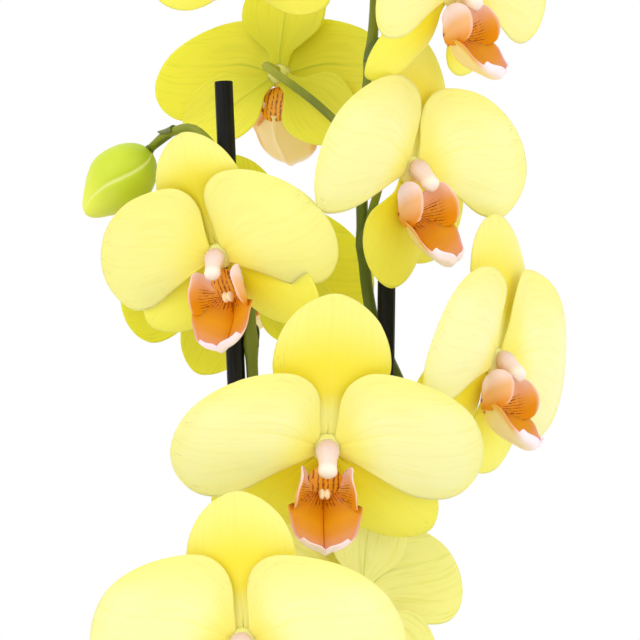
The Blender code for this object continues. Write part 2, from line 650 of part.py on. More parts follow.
def build_pot(finishes):
    shoulder = POT_HEIGHT - POT_RIM_HEIGHT
    profile = [
        (0, 0), (POT_FOOT_RADIUS - 1.5 * MM, 0), (POT_FOOT_RADIUS, 1.5 * MM), (POT_TOP_RADIUS, shoulder),
        (POT_RIM_RADIUS, shoulder + 1.6 * MM), (POT_RIM_RADIUS + 0.6 * MM, POT_HEIGHT - 2 * MM),
        (POT_RIM_RADIUS - 0.9 * MM, POT_HEIGHT), (pot_inner_radius(POT_HEIGHT) + 1.5 * MM, POT_HEIGHT),
        (pot_inner_radius(POT_HEIGHT - 2 * MM), POT_HEIGHT - 2 * MM), (pot_inner_radius(POT_FLOOR), POT_FLOOR),
        (0, POT_FLOOR),
    ]
    show("pot", turned([(r / MM, z / MM) for r, z in profile], POT_SIDES), finishes["pot"])


def build_bark(finishes):
    """One body of potting bark that fills the pot, with chips on its top and a plain hole for each stem."""
    low, high = POT_FLOOR + GAP, BARK_TOP - 3 * MM
    profile = [(0, low), (pot_inner_radius(low) - GAP, low), (pot_inner_radius(high) - GAP, high), (0, high)]
    parts = [turned([(r / MM, z / MM) for r, z in profile], POT_SIDES)]
    chance = random.Random(7)
    for k in range(BARK_CHIPS):
        reach = 47 * MM * math.sqrt((k + 0.6) / BARK_CHIPS)
        angle = k * 2.39996 + chance.uniform(-0.2, 0.2)
        reach = min(reach, 43.5 * MM)
        lift = chance.uniform(0.0, 1.6) * MM
        centre = Vector((reach * math.cos(angle), reach * math.sin(angle), high + lift))
        turn = (Matrix.Rotation(chance.uniform(0, math.pi), 4, "Z")
                @ Matrix.Rotation(chance.uniform(-0.3, 0.3), 4, "X")
                @ Matrix.Rotation(chance.uniform(-0.3, 0.3), 4, "Y"))
        size = [length * chance.uniform(0.75, 1.05) for length in BARK_CHIP_SIZE]
        bm = bmesh.new()
        bmesh.ops.create_cube(bm, size=1.0)
        for vert in bm.verts:
            taper = 0.72 if vert.co.z > 0 else 1.0
            vert.co = Vector((vert.co.x * size[0] * taper, vert.co.y * size[1] * taper, vert.co.z * size[2]))
        bmesh.ops.transform(bm, matrix=Matrix.Translation(centre) @ turn, verts=bm.verts[:])
        parts.append(as_mesh(bm, "chip"))
    holes = [crown_mesh(GAP), *root_tubes(GAP)]
    for foot, top in STAKES.values():
        foot, top = Vector(foot) * MM, Vector(top) * MM
        holes.append(rod(foot - (top - foot).normalized() * GAP, top, STAKE_RADIUS + GAP))
    show("bark", largest_shell(fuse("bark", parts, holes)), finishes["bark"])


clear_scene()
FINISHES = {
    "tepal": finish("tepal", (0.90, 0.82, 0.22), 0.5),
    "column": finish("column", (0.90, 0.78, 0.72), 0.4),
    "lip": finish("lip", (0.62, 0.26, 0.02), 0.4),
    "spike": finish("spike", (0.12, 0.17, 0.02), 0.5),
    "bud": finish("bud", (0.45, 0.55, 0.08), 0.45),
    "stake": finish("stake", (0.02, 0.02, 0.018), 0.45),
    "leaf": finish("leaf", (0.07, 0.16, 0.03), 0.4),
    "root": finish("root", (0.42, 0.45, 0.33), 0.7),
    "bark": finish("bark", (0.19, 0.10, 0.055), 0.85),
    "pot": finish("pot", (0.80, 0.79, 0.76), 0.35),
}
build_pot(FINISHES)
build_bark(FINISHES)
build_crown(FINISHES)
build_leaves(FINISHES)
build_stakes(FINISHES)
build_spikes(FINISHES)
build_buds(FINISHES)
build_blooms(FINISHES)
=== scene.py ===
"""Finishes a potted moth orchid around its solids: two staked flower spikes with yellow blooms, buds, strap
leaves and aerial roots, growing in bark in a plain tapered pot."""

import math
import random

import bmesh
import bpy
from mathutils import Matrix, Vector, noise


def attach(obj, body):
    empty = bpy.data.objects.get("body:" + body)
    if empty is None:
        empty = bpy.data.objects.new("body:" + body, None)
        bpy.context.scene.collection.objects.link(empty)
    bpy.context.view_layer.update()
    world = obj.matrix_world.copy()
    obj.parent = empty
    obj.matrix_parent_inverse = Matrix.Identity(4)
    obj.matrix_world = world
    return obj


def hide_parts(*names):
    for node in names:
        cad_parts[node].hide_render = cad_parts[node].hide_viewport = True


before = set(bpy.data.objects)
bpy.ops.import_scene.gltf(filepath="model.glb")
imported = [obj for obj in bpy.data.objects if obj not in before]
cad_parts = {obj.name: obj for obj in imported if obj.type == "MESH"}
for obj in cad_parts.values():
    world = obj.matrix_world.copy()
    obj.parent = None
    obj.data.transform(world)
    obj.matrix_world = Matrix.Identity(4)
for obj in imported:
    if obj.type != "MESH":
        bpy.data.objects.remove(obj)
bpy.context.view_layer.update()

MM = 0.001


# ---------------------------------------------------------------------------------------------------
# Pot: a plain stoneware cover pot, turned on a wheel, with a thick collar round its mouth. It is dipped
# in a soft white glaze that thins to a warmer tone over the collar's edges and stops above the foot.
# ---------------------------------------------------------------------------------------------------
POT_FOOT, POT_TOP, POT_COLLAR = 43.0, 59.0, 63.0
POT_SHOULDER, POT_HEIGHT, POT_FLOOR = 104.0, 122.0, 6.0
POT_INNER_FOOT, POT_INNER_TOP = 40.0, 55.0  # radii of the hollow


class Shade:
    """A value in a material: arithmetic on it adds the material's maths nodes."""

    def __init__(self, paint, socket):
        self.paint = paint
        self.socket = socket

    def sum(self, operation, first, second):
        return self.paint.node("ShaderNodeMath", {"operation": operation}, {0: first, 1: second})

    def __add__(self, other):
        return self.sum("ADD", self, other)

    def __radd__(self, other):
        return self.sum("ADD", other, self)

    def __sub__(self, other):
        return self.sum("SUBTRACT", self, other)

    def __rsub__(self, other):
        return self.sum("SUBTRACT", other, self)

    def __mul__(self, other):
        return self.sum("MULTIPLY", self, other)

    def __rmul__(self, other):
        return self.sum("MULTIPLY", other, self)


class Paint:
    """One material. Every node is made by node(), and what it gives is used in expressions."""

    def __init__(self, name):
        self.material = bpy.data.materials.new(name)
        self.material.use_nodes = True
        self.tree = self.material.node_tree
        self.shader = self.tree.nodes["Principled BSDF"]

    def node(self, kind, settings=None, values=None, out=0):
        """A node of a type, with its settings, then its sockets' values or links; gives one output."""
        made = self.tree.nodes.new(kind)
        for name, setting in (settings or {}).items():
            if name == "stops":
                stops = made.color_ramp.elements
                while len(stops) < len(setting):
                    stops.new(0.5)
                for stop, (place, colour) in zip(stops, setting):
                    stop.position = place
                    stop.color = (*colour, 1.0)
            else:
                setattr(made, name, setting)
        for socket, value in (values or {}).items():
            if isinstance(value, Shade):
                self.tree.links.new(value.socket, made.inputs[socket])
            elif isinstance(value, tuple) and len(value) == 3 and made.inputs[socket].type == "RGBA":
                made.inputs[socket].default_value = (*value, 1.0)
            else:
                made.inputs[socket].default_value = value
        return Shade(self, made.outputs[out])

    def place(self):
        return self.node("ShaderNodeTexCoord", out="Object")

    def layer(self, name):
        """A number that the mesh holds for each of its points."""
        return self.node("ShaderNodeAttribute", {"attribute_name": name}, out="Fac")

    def stretched(self, scale):
        """Object coordinates stretched by a factor along each axis."""
        return self.node("ShaderNodeMapping", values={"Vector": self.place(), "Scale": scale})

    def grain(self, scale, detail=3.0, at=None, distortion=0.0):
        """Soft noise between 0 and 1."""
        values = {"Vector": at or self.place(), "Scale": scale, "Detail": detail, "Distortion": distortion}
        return self.node("ShaderNodeTexNoise", values=values)

    def fan(self, across, along, other, detail):
        """Soft noise drawn out along a blade, counted in waves across it, along it and by a third value."""
        spot = self.node("ShaderNodeCombineXYZ", values={0: across, 1: along, 2: other})
        return self.grain(1.0, detail, spot)

    def ramp(self, value, *stops):
        """A colour from stops of (value, colour)."""
        return self.node("ShaderNodeValToRGB", {"stops": stops}, {0: value})

    def step(self, value, low, high):
        """0 below low, 1 above high and a soft step between them; high may be the lower one."""
        flip = high < low
        ends = {"Value": value, "From Min": min(low, high), "From Max": max(low, high)}
        ends.update({"To Min": 1.0 if flip else 0.0, "To Max": 0.0 if flip else 1.0})
        return self.node("ShaderNodeMapRange", {"interpolation_type": "SMOOTHSTEP"}, ends)

    def mix(self, share, first, second):
        """The first colour, or by the share the second."""
        return self.node("ShaderNodeMix", {"data_type": "RGBA"}, {0: share, 6: first, 7: second}, out=2)

    def bump(self, height, strength, distance):
        values = {"Height": height, "Strength": strength, "Distance": distance * MM}
        return self.node("ShaderNodeBump", values=values)

    def set(self, **values):
        """Sets or links the shader's sockets; a name's underscores stand for spaces."""
        for name, value in values.items():
            socket = self.shader.inputs[name.replace("_", " ")]
            if isinstance(value, Shade):
                self.tree.links.new(value.socket, socket)
            elif isinstance(value, tuple) and socket.type == "RGBA":
                socket.default_value = (*value, 1.0)
            else:
                socket.default_value = value


def hue(red, green, blue):
    """A colour from its three screen values of 0 to 255."""
    shares = (value / 255 for value in (red, green, blue))
    return tuple(share / 12.92 if share <= 0.04 else ((share + 0.055) / 1.055) ** 2.4 for share in shares)


def show(name, bm, paint, slot, *nodes):
    """Turns a bmesh into a finished piece that stands for its solids."""
    mesh = bpy.data.meshes.new(name)
    bm.to_mesh(mesh)
    bm.free()
    mesh.materials.append(paint.material)
    mesh.shade_smooth()
    piece = bpy.data.objects.new(name, mesh)
    bpy.context.scene.collection.objects.link(piece)
    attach(piece, "root")
    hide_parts(*nodes)
    return piece


def turned(profile, steps):
    """A solid turned about Z from a profile of (radius, height) in mm that starts and ends on the axis."""
    bm = bmesh.new()
    verts = [bm.verts.new((radius * MM, 0, height * MM)) for radius, height in profile]
    edges = [bm.edges.new(pair) for pair in zip(verts, verts[1:])]
    bmesh.ops.spin(bm, geom=verts + edges, cent=(0, 0, 0), axis=(0, 0, 1), angle=2 * math.pi,
                   steps=steps, use_merge=True)
    bmesh.ops.remove_doubles(bm, verts=bm.verts[:], dist=0.005 * MM)
    bmesh.ops.recalc_face_normals(bm, faces=bm.faces[:])
    return bm


def pot_inner(height):
    share = (height - POT_FLOOR) / (POT_HEIGHT - POT_FLOOR)
    return POT_INNER_FOOT + (POT_INNER_TOP - POT_INNER_FOOT) * share


def make_pot():
    profile = [(0, 0.9), (36.5, 0.9), (37.5, 0), (POT_FOOT - 1.5, 0), (POT_FOOT, 1.5)]
    profile += [(POT_FOOT + (POT_TOP - POT_FOOT) * k / 16, 1.5 + (POT_SHOULDER - 1.5) * k / 16)
                for k in range(1, 17)]
    profile += [(POT_COLLAR - 0.4, POT_SHOULDER + 0.6), (POT_COLLAR, POT_SHOULDER + 2.0)]
    profile += [(POT_COLLAR + 0.6 * math.sin(math.pi * k / 12), POT_SHOULDER + 2 + 13 * k / 6)
                for k in range(1, 7)]
    profile += [(60.8 - 2.3 * math.cos(a), 119.2 + 2.8 * math.sin(a))
                for a in (math.pi * (1 - k / 8) for k in range(0, 9))]
    profile += [(pot_inner(height), height) for height in (112, 90, 60, 30, 8)]
    profile += [(36.0, POT_FLOOR), (0, POT_FLOOR)]
    bm = turned(profile, 144)
    paint = Paint("satin white glaze")
    height = paint.node("ShaderNodeSeparateXYZ", values={0: paint.place()}, out="Z")
    cloud = paint.grain(22.0, 4.0)
    rings = paint.node("ShaderNodeTexWave", {"bands_direction": "Z", "wave_profile": "SIN"},
                       {"Vector": paint.place(), "Scale": 95.0, "Distortion": 1.4, "Detail": 1.0})
    specks = paint.step(paint.node("ShaderNodeTexVoronoi", values={"Vector": paint.place(), "Scale": 260.0}),
                        0.10, 0.05) * paint.step(paint.grain(60.0, 1.0), 0.58, 0.66)
    edge = paint.step(height, 119.0 * MM, 122.0 * MM) + paint.step(height, 3.2 * MM, 1.6 * MM)
    glaze = paint.mix(cloud, hue(236, 233, 225), hue(246, 244, 238))
    glaze = paint.mix(edge * 0.55, glaze, hue(214, 200, 178))
    glaze = paint.mix(specks * 0.6, glaze, hue(150, 128, 100))
    paint.set(Base_Color=glaze, Roughness=0.26 + 0.14 * cloud, Coat_Weight=0.35, Coat_Roughness=0.12,
              Normal=paint.bump(rings * 0.5 + paint.grain(140.0, 2.0) * 0.5, 0.35, 0.35))
    show("glazed_pot", bm, paint, "pot", "pot")


make_pot()


# ---------------------------------------------------------------------------------------------------
# Bark: the potting mix, coarse chips of pine bark poured in up to a finger's breadth below the rim. A
# packed bed carries loose chips that lie flat or lean on each other, worn dark red to grey brown.
# ---------------------------------------------------------------------------------------------------
BARK_TOP = 105.0
BARK_BED = 102.0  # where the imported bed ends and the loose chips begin
CHIP_COUNT = 190
CHIP_SIZE = (12.0, 7.5, 4.2)
CHIP_NEAR, CHIP_FAR = 9.5, 47.5  # the ring that the loose chips lie in
GOLDEN_ANGLE = 2.39996
BARK_SEED = 11


def add_part(bm, part):
    """Adds one bmesh's shape to another, and frees it."""
    mesh = bpy.data.meshes.new("part")
    part.to_mesh(mesh)
    part.free()
    bm.from_mesh(mesh)
    bpy.data.meshes.remove(mesh)


def add_chip(bm, chance, centre, size):
    """One chip: a block whose faces are roughened and whose ends are torn askew."""
    chip = bmesh.new()
    tone = chip.verts.layers.float.new("tone")
    bmesh.ops.create_cube(chip, size=1.0)
    bmesh.ops.subdivide_edges(chip, edges=chip.edges[:], cuts=2, use_grid_fill=True)
    spot = Vector((chance.uniform(-50, 50), chance.uniform(-50, 50), chance.uniform(-50, 50)))
    skew = chance.uniform(-0.35, 0.35)
    shade = chance.random()
    for vert in chip.verts:
        x, y, z = vert.co
        round_off = 1.0 - 0.22 * (abs(2 * x) ** 4 * abs(2 * y) ** 4)
        point = Vector((x * size[0] * round_off + skew * y * size[1], y * size[1] * round_off, z * size[2]))
        point.z += size[2] * 0.30 * math.sin(2.2 * x + spot.x)
        vert.co = point + noise.noise_vector(point * 0.28 + spot) * 1.1
        vert[tone] = shade
    turn = (Matrix.Rotation(chance.uniform(0, 2 * math.pi), 4, "Z")
            @ Matrix.Rotation(chance.uniform(-0.55, 0.55), 4, "X")
            @ Matrix.Rotation(chance.uniform(-0.40, 0.40), 4, "Y"))
    place = Matrix.Scale(MM, 4) @ Matrix.Translation(centre) @ turn
    bmesh.ops.transform(chip, matrix=place, verts=chip.verts[:])
    add_part(bm, chip)


def make_bark():
    gap = 0.4
    profile = [(0, POT_FLOOR + gap), (39.5, POT_FLOOR + gap), (pot_inner(60) - gap, 60),
               (pot_inner(BARK_TOP) - gap, BARK_BED)]
    profile += [(radius, BARK_BED) for radius in range(48, -1, -6)]
    bm = turned(profile, 72)
    tone = bm.verts.layers.float.new("tone")
    for vert in bm.verts:
        if vert.co.z > (BARK_BED - 2) * MM:
            vert.co.z += noise.noise(vert.co * 160) * 1.8 * MM
        vert[tone] = 0.1
    chance = random.Random(BARK_SEED)
    noise.seed_set(BARK_SEED)
    for k in range(CHIP_COUNT):
        reach = CHIP_NEAR + (CHIP_FAR - CHIP_NEAR) * math.sqrt((k + 0.5) / CHIP_COUNT)
        angle = k * GOLDEN_ANGLE + chance.uniform(-0.25, 0.25)
        share = chance.uniform(0.55, 1.15)
        size = [length * share * chance.uniform(0.8, 1.2) for length in CHIP_SIZE]
        height = BARK_TOP - 1.5 + chance.uniform(-1.0, 3.4)
        add_chip(bm, chance, (reach * math.cos(angle), reach * math.sin(angle), height), size)
    bmesh.ops.recalc_face_normals(bm, faces=bm.faces[:])
    paint = Paint("pine bark")
    tone = paint.layer("tone")
    fibre = paint.grain(210.0, 6.0, paint.stretched((1.0, 1.0, 2.6)), 0.6)
    layers = paint.grain(75.0, 4.0)
    colour = paint.ramp(tone * 0.7 + fibre * 0.45 - 0.08,
                        (0.0, hue(58, 38, 27)), (0.35, hue(104, 62, 38)), (0.7, hue(134, 84, 52)),
                        (1.0, hue(152, 112, 80)))
    colour = paint.mix(paint.step(layers, 0.55, 0.72) * 0.6, colour, hue(70, 46, 34))
    paint.set(Base_Color=colour, Roughness=0.82 + 0.12 * fibre, Specular_IOR_Level=0.3,
              Normal=paint.bump(fibre * 0.6 + layers * 0.6, 0.8, 0.9))
    bark = show("bark_chips", bm, paint, "bark", "bark")
    bark.data.set_sharp_from_angle(angle=math.radians(38))


make_bark()


# ---------------------------------------------------------------------------------------------------
# Crown and aerial roots: the plant's short stem, wrapped in old leaf bases, with thick cord-like roots
# grown from its foot. Silvery velamen covers each root, and its growing tip is green.
# ---------------------------------------------------------------------------------------------------
CROWN_PROFILE = [(0, 98), (6.0, 98), (7.5, 106), (8.2, 116), (8.0, 123), (7.2, 137), (6.0, 151), (4.2, 160),
                 (0, 163)]
ROOT_RADIUS = 2.5
ROOTS = [
    [(3, -4, 113), (13, -20, 118), (27, -44, 127.0), (37, -59, 128), (43, -70, 119), (45, -74, 101),
     (47, -74, 84)],
    [(-3, 5, 113), (-14, 20, 118), (-33, 40, 127.5), (-46, 54, 128), (-54, 61, 112)],
    [(-5, -1, 112), (-26, -3, 119), (-45, -3, 127.5), (-62, -2, 130), (-73, 1, 127), (-79, 5, 113)],
    [(-4, -3, 111), (-17, -10, 113), (-27, -18, 110), (-31, -23, 99), (-31, -25, 88)],
    [(5, 2, 111), (22, 10, 114), (32, 17, 110), (36, 20, 100), (36, 21, 88)],
]


def rounded(share):
    """A soft step from 0 to 1."""
    share = min(max(share, 0.0), 1.0)
    return share * share * (3 - 2 * share)


def smooth_line(points, count):
    """Count points, evenly spaced by length, on a smooth curve through the given ones."""
    knots = [Vector(p) for p in points]
    knots = [2 * knots[0] - knots[1], *knots, 2 * knots[-1] - knots[-2]]
    dense = []
    for a, b, c, d in zip(knots, knots[1:], knots[2:], knots[3:]):
        for step in range(16):
            t = step / 16
            dense.append(0.5 * (2 * b + (c - a) * t + (2 * a - 5 * b + 4 * c - d) * t**2
                                + (3 * b - a - 3 * c + d) * t**3))
    dense.append(knots[-2])
    lengths = [0.0]
    for a, b in zip(dense, dense[1:]):
        lengths.append(lengths[-1] + (b - a).length)
    line, k = [], 0
    for step in range(count):
        want = lengths[-1] * step / (count - 1)
        while k < len(dense) - 2 and lengths[k + 1] < want:
            k += 1
        span = lengths[k + 1] - lengths[k]
        line.append(dense[k].lerp(dense[k + 1], (want - lengths[k]) / span if span else 0.0))
    return line


def between(values, share):
    """The value at a share of the way along a list of them."""
    spot = min(max(share, 0.0), 1.0) * (len(values) - 1)
    low = min(int(spot), len(values) - 2)
    return values[low] + (values[low + 1] - values[low]) * (spot - low)


def add_stem(bm, line, radius, tone, sides):
    """A closed round stem along a line in mm. Its radius and its tone are functions of the share along it."""
    layer = bm.verts.layers.float["tone"]
    count = len(line) - 1
    turn = (line[1] - line[0]).to_track_quat("Z", "X")
    before = Matrix()
    ring = bmesh.ops.create_circle(bm, cap_ends=True, segments=sides, radius=1.0)["verts"]

    def rim():
        edges = dict.fromkeys(edge for vert in ring for edge in vert.link_edges)
        return [edge for edge in edges if edge.verts[0] in ring and edge.verts[1] in ring]

    for k, point in enumerate(line):
        ahead = (line[min(k + 1, count)] - line[max(k - 1, 0)]).normalized()
        turn = (turn @ Vector((0, 0, 1))).rotation_difference(ahead) @ turn
        growth = Matrix.Scale(radius(k / count) * MM, 4)
        place = Matrix.Translation(point * MM) @ turn.to_matrix().to_4x4() @ growth
        if k > 0:
            grown = bmesh.ops.extrude_edge_only(bm, edges=rim())["geom"]
            ring = [item for item in grown if isinstance(item, bmesh.types.BMVert)]
        bmesh.ops.transform(bm, matrix=place @ before.inverted(), verts=ring)
        for vert in ring:
            vert[layer] = tone(k / count)
        before = place
    bmesh.ops.contextual_create(bm, geom=rim())


def make_crown():
    bm = turned(CROWN_PROFILE, 48)
    bm.verts.layers.float.new("tone")
    for number, root in enumerate(ROOTS):
        def lumpy(share, number=number):
            swell = noise.noise(Vector((share * 7.0, number * 9.0, 0.0)))
            return (ROOT_RADIUS + 0.35 * swell) * (1 - 0.85 * rounded((share - 0.955) / 0.045))

        def tip_green(share):
            return 0.25 + 0.75 * rounded((share - 0.86) / 0.06)

        add_stem(bm, smooth_line(root, 72), lumpy, tip_green, 18)
    bmesh.ops.recalc_face_normals(bm, faces=bm.faces[:])
    paint = Paint("velamen")
    cloud = paint.grain(120.0, 4.0)
    silver = paint.mix(paint.step(cloud, 0.35, 0.68), hue(146, 158, 128), hue(190, 192, 172))
    silver = paint.mix(paint.step(paint.grain(320.0, 2.0), 0.60, 0.70) * 0.7, silver, hue(120, 116, 84))
    colour = paint.mix(paint.step(paint.layer("tone"), 0.35, 0.9), silver, hue(112, 140, 52))
    paint.set(Base_Color=colour, Roughness=0.72, Normal=paint.bump(cloud, 0.5, 0.5))
    show("crown_and_roots", bm, paint, "root", "crown_with_roots")


make_crown()


# ---------------------------------------------------------------------------------------------------
# Leaves: thick leathery straps in two rows that clasp the crown, folded along the midrib at the foot and
# flatter and arching towards the blunt tip. They are dark green above and paler below.
# ---------------------------------------------------------------------------------------------------
LEAVES = {
    "1": dict(azimuth=-8, foot=122, length=168, width=66, rise=34, fall=-40),
    "2": dict(azimuth=173, foot=127, length=176, width=70, rise=40, fall=-42),
    "3": dict(azimuth=-3, foot=133, length=158, width=68, rise=50, fall=-30),
    "4": dict(azimuth=178, foot=139, length=146, width=66, rise=56, fall=-24),
    "5": dict(azimuth=-12, foot=146, length=112, width=52, rise=66, fall=0),
    "6": dict(azimuth=168, foot=152, length=74, width=34, rise=72, fall=30),
}
BLADE_LAYERS = ("along", "across", "front", "kind", "ripe")  # what a blade's points know about their place
OUTLINE_SAMPLES = 160


def new_bm(*layers):
    """An empty bmesh whose points hold a number under each name."""
    bm = bmesh.new()
    for layer in layers:
        bm.verts.layers.float.new(layer)
    return bm


def patch(outline, first, last):
    """A flat patch inside an outline that starts and ends at the blade's foot, as a function of (u, v): u
    runs from the foot to the far edge, which is the outline from share first to last, and v across."""
    line = smooth_line(outline, OUTLINE_SAMPLES)

    def at(share):
        return between(line, share)

    foot_a, foot_b, far_a, far_b = at(0), at(1), at(first), at(last)

    def place(u, v):
        side_a, side_b = at(first * u), at(1 - (1 - last) * u)
        foot, far = foot_a.lerp(foot_b, v), at(first + (last - first) * v)
        corners = foot_a.lerp(foot_b, v) * (1 - u) + far_a.lerp(far_b, v) * u
        return side_a.lerp(side_b, v) + foot.lerp(far, u) - corners

    return place


def add_blade(bm, surface, rows, columns, thickness, facing, kind=0.0, ripe=0.0, place=None):
    """A closed blade: a grid placed by surface(u, v), in mm, and given thickness(u, v) in mm. Its front is
    the side that looks towards facing."""
    sheet = bmesh.new()
    layers = [sheet.verts.layers.float.new(name) for name in BLADE_LAYERS]
    bmesh.ops.create_grid(sheet, x_segments=columns, y_segments=rows, size=0.5)
    shares = [(v.co.y + 0.5, v.co.x + 0.5) for v in sheet.verts]
    for vert, (u, v) in zip(sheet.verts, shares):
        vert.co = surface(u, v)
        for layer, value in zip(layers, (u, v, 1.0, kind, ripe)):
            vert[layer] = value
    sheet.normal_update()
    if sum((face.normal * face.calc_area() for face in sheet.faces), Vector()).dot(Vector(facing)) < 0:
        bmesh.ops.reverse_faces(sheet, faces=sheet.faces[:])
        sheet.normal_update()
    half = [vert.normal * thickness(u, v) / 2 for vert, (u, v) in zip(sheet.verts, shares)]
    front = sheet.verts[:]
    copy = bmesh.ops.duplicate(sheet, geom=sheet.verts[:] + sheet.edges[:] + sheet.faces[:])
    for vert, offset in zip(front, half):
        twin = copy["vert_map"][vert]
        twin.co -= offset
        twin[layers[2]] = 0.0
        vert.co += offset
    back = [item for item in copy["geom"] if isinstance(item, bmesh.types.BMFace)]
    bmesh.ops.reverse_faces(sheet, faces=back)
    bmesh.ops.bridge_loops(sheet, edges=[edge for edge in sheet.edges if edge.is_boundary])
    bmesh.ops.recalc_face_normals(sheet, faces=sheet.faces[:])
    matrix = Matrix.Scale(MM, 4) if place is None else place @ Matrix.Scale(MM, 4)
    bmesh.ops.transform(sheet, matrix=matrix, verts=sheet.verts[:])
    add_part(bm, sheet)


def crown_radius(height):
    for (r1, z1), (r2, z2) in zip(CROWN_PROFILE[1:], CROWN_PROFILE[2:]):
        if z1 <= height <= z2:
            return r1 + (r2 - r1) * (height - z1) / (z2 - z1)
    return CROWN_PROFILE[1][0]


def leaf_surface(leaf, seed):
    length, width = leaf["length"], leaf["width"]
    half = [(0, 0.11), (0.10, 0.17), (0.28, 0.34), (0.50, 0.47), (0.70, 0.50), (0.86, 0.40), (0.95, 0.24)]
    outline = [(x * length, z * width, 0) for x, z in half]
    outline = [*outline, (length, 0, 0), *[(x, -z, 0) for x, z, _ in reversed(outline)]]
    plane = patch(outline, 0.40, 0.60)
    wrap = crown_radius(leaf["foot"]) + 1.7
    turn = Matrix.Rotation(math.radians(leaf["azimuth"]), 3, "Z")
    steps = 120
    rib = [Vector((0.0, 0.0))]
    slopes = [math.radians(leaf["rise"] + (leaf["fall"] - leaf["rise"]) * rounded(k / steps))
              for k in range(steps + 1)]
    for slope in slopes[:-1]:
        rib.append(rib[-1] + Vector((math.cos(slope), math.sin(slope))) * length / steps)

    def surface(u, v):
        spot = plane(u, v)
        share = min(max(spot.x / length, 0.0), 1.0)
        point, slope = between(rib, share), between(slopes, share)
        fold = abs(spot.y) * (0.55 - 0.42 * rounded(share / 0.5))
        fold -= 0.9 * math.exp(-(spot.y / 2.4) ** 2) * rounded(share / 0.2) * (1 - share**3)
        fold += 0.5 * math.sin(share * 9 + seed) * (spot.y / width * 2) ** 2 * rounded(share / 0.3)
        across = spot.y * (0.86 + 0.14 * rounded(share / 0.5))
        clasp = (wrap - math.sqrt(max(wrap**2 - across**2, 0.0))) * max(0.0, 1 - spot.x / 14)
        out = wrap - clasp + point.x - math.sin(slope) * fold * rounded((spot.x - 4) / 24)
        return turn @ Vector((out, across, leaf["foot"] + point.y + math.cos(slope) * fold))

    return surface


def leaf_thickness(u, v):
    edge = min(1.0, 6 * min(v, 1 - v) + 0.02) * min(1.0, 10 * (1 - u) + 0.02)
    return 0.7 + 1.3 * math.sqrt(edge) + 0.9 * math.exp(-((v - 0.5) / 0.06) ** 2) * (1 - u)


def leaf_paint():
    paint = Paint("leathery leaf green")
    across, front = paint.layer("across"), paint.layer("front")
    lines = paint.fan(across * 34.0, paint.layer("along") * 2.2, front * 5.0, 4.0)
    cloud = paint.grain(26.0, 4.0)
    rib = paint.step(across, 0.488, 0.5) * paint.step(across, 0.512, 0.5)
    top = paint.mix(paint.step(lines, 0.35, 0.65), hue(43, 72, 30), hue(60, 92, 38))
    top = paint.mix(paint.step(cloud, 0.35, 0.7) * 0.5, top, hue(78, 108, 44))
    top = paint.mix(rib * 0.5, top, hue(98, 124, 58))
    under = paint.mix(lines, hue(96, 118, 62), hue(116, 132, 76))
    paint.set(Base_Color=paint.mix(front, under, top), Roughness=0.30 + 0.16 * cloud, Specular_IOR_Level=0.45,
              Subsurface_Weight=0.08, Subsurface_Radius=(0.5, 1.0, 0.2), Subsurface_Scale=1.2 * MM,
              Normal=paint.bump(lines * 0.7 + cloud * 0.5, 0.28, 0.4))
    return paint


def make_leaves():
    paint = leaf_paint()
    for name, leaf in LEAVES.items():
        bm = bmesh.new()
        add_blade(bm, leaf_surface(leaf, int(name) * 1.7), 84, 36, leaf_thickness, (0, 0, 1))
        show(f"leaf_blade_{name}", bm, paint, "leaf", f"leaf_{name}")


make_leaves()


# ---------------------------------------------------------------------------------------------------
# Stakes: straight black canes of ribbed plastic, cut square at the top, pushed into the bark beside the
# crown so that each spike can lean on one.
# ---------------------------------------------------------------------------------------------------
STAKE_RADIUS = 2.65
STAKES = {
    "left": ((-6.8, -20.0, 35.0), (-27.9, 3.0, 517.0)),
    "right": ((14.0, 20.0, 35.0), (19.4, 8.6, 461.0)),
}
STAKE_RIBS = 14


def make_stakes():
    paint = Paint("black ribbed plastic")
    scuffs = paint.grain(60.0, 5.0, paint.stretched((6.0, 6.0, 0.5)))
    colour = paint.mix(paint.step(scuffs, 0.45, 0.75), hue(12, 12, 11), hue(30, 29, 24))
    paint.set(Base_Color=colour, Roughness=0.34 + 0.2 * scuffs, Specular_IOR_Level=0.14,
              Normal=paint.bump(scuffs, 0.15, 0.2))
    for side, (foot, top) in STAKES.items():
        foot, top = Vector(foot), Vector(top)
        depth = (top - foot).length
        bm = bmesh.new()
        bmesh.ops.create_cone(bm, cap_ends=True, segments=STAKE_RIBS * 6, radius1=STAKE_RADIUS,
                              radius2=STAKE_RADIUS, depth=depth)
        rims = [edge for edge in bm.edges if len({round(vert.co.z, 3) for vert in edge.verts}) == 1]
        bmesh.ops.bevel(bm, geom=rims, offset=0.25, segments=2, affect="EDGES", profile=0.5, material=-1)
        for vert in bm.verts:
            angle = math.atan2(vert.co.y, vert.co.x)
            rib = 1 - 0.035 * (0.5 - 0.5 * math.cos(STAKE_RIBS * angle))
            vert.co.x *= rib
            vert.co.y *= rib
        turn = (top - foot).to_track_quat("Z", "X").to_matrix().to_4x4()
        place = Matrix.Scale(MM, 4) @ Matrix.Translation((foot + top) / 2) @ turn
        bmesh.ops.transform(bm, matrix=place, verts=bm.verts[:])
        cane = show(f"cane_{side}", bm, paint, "stake", f"stake_{side}")
        cane.data.set_sharp_from_angle(angle=math.radians(35))


make_stakes()


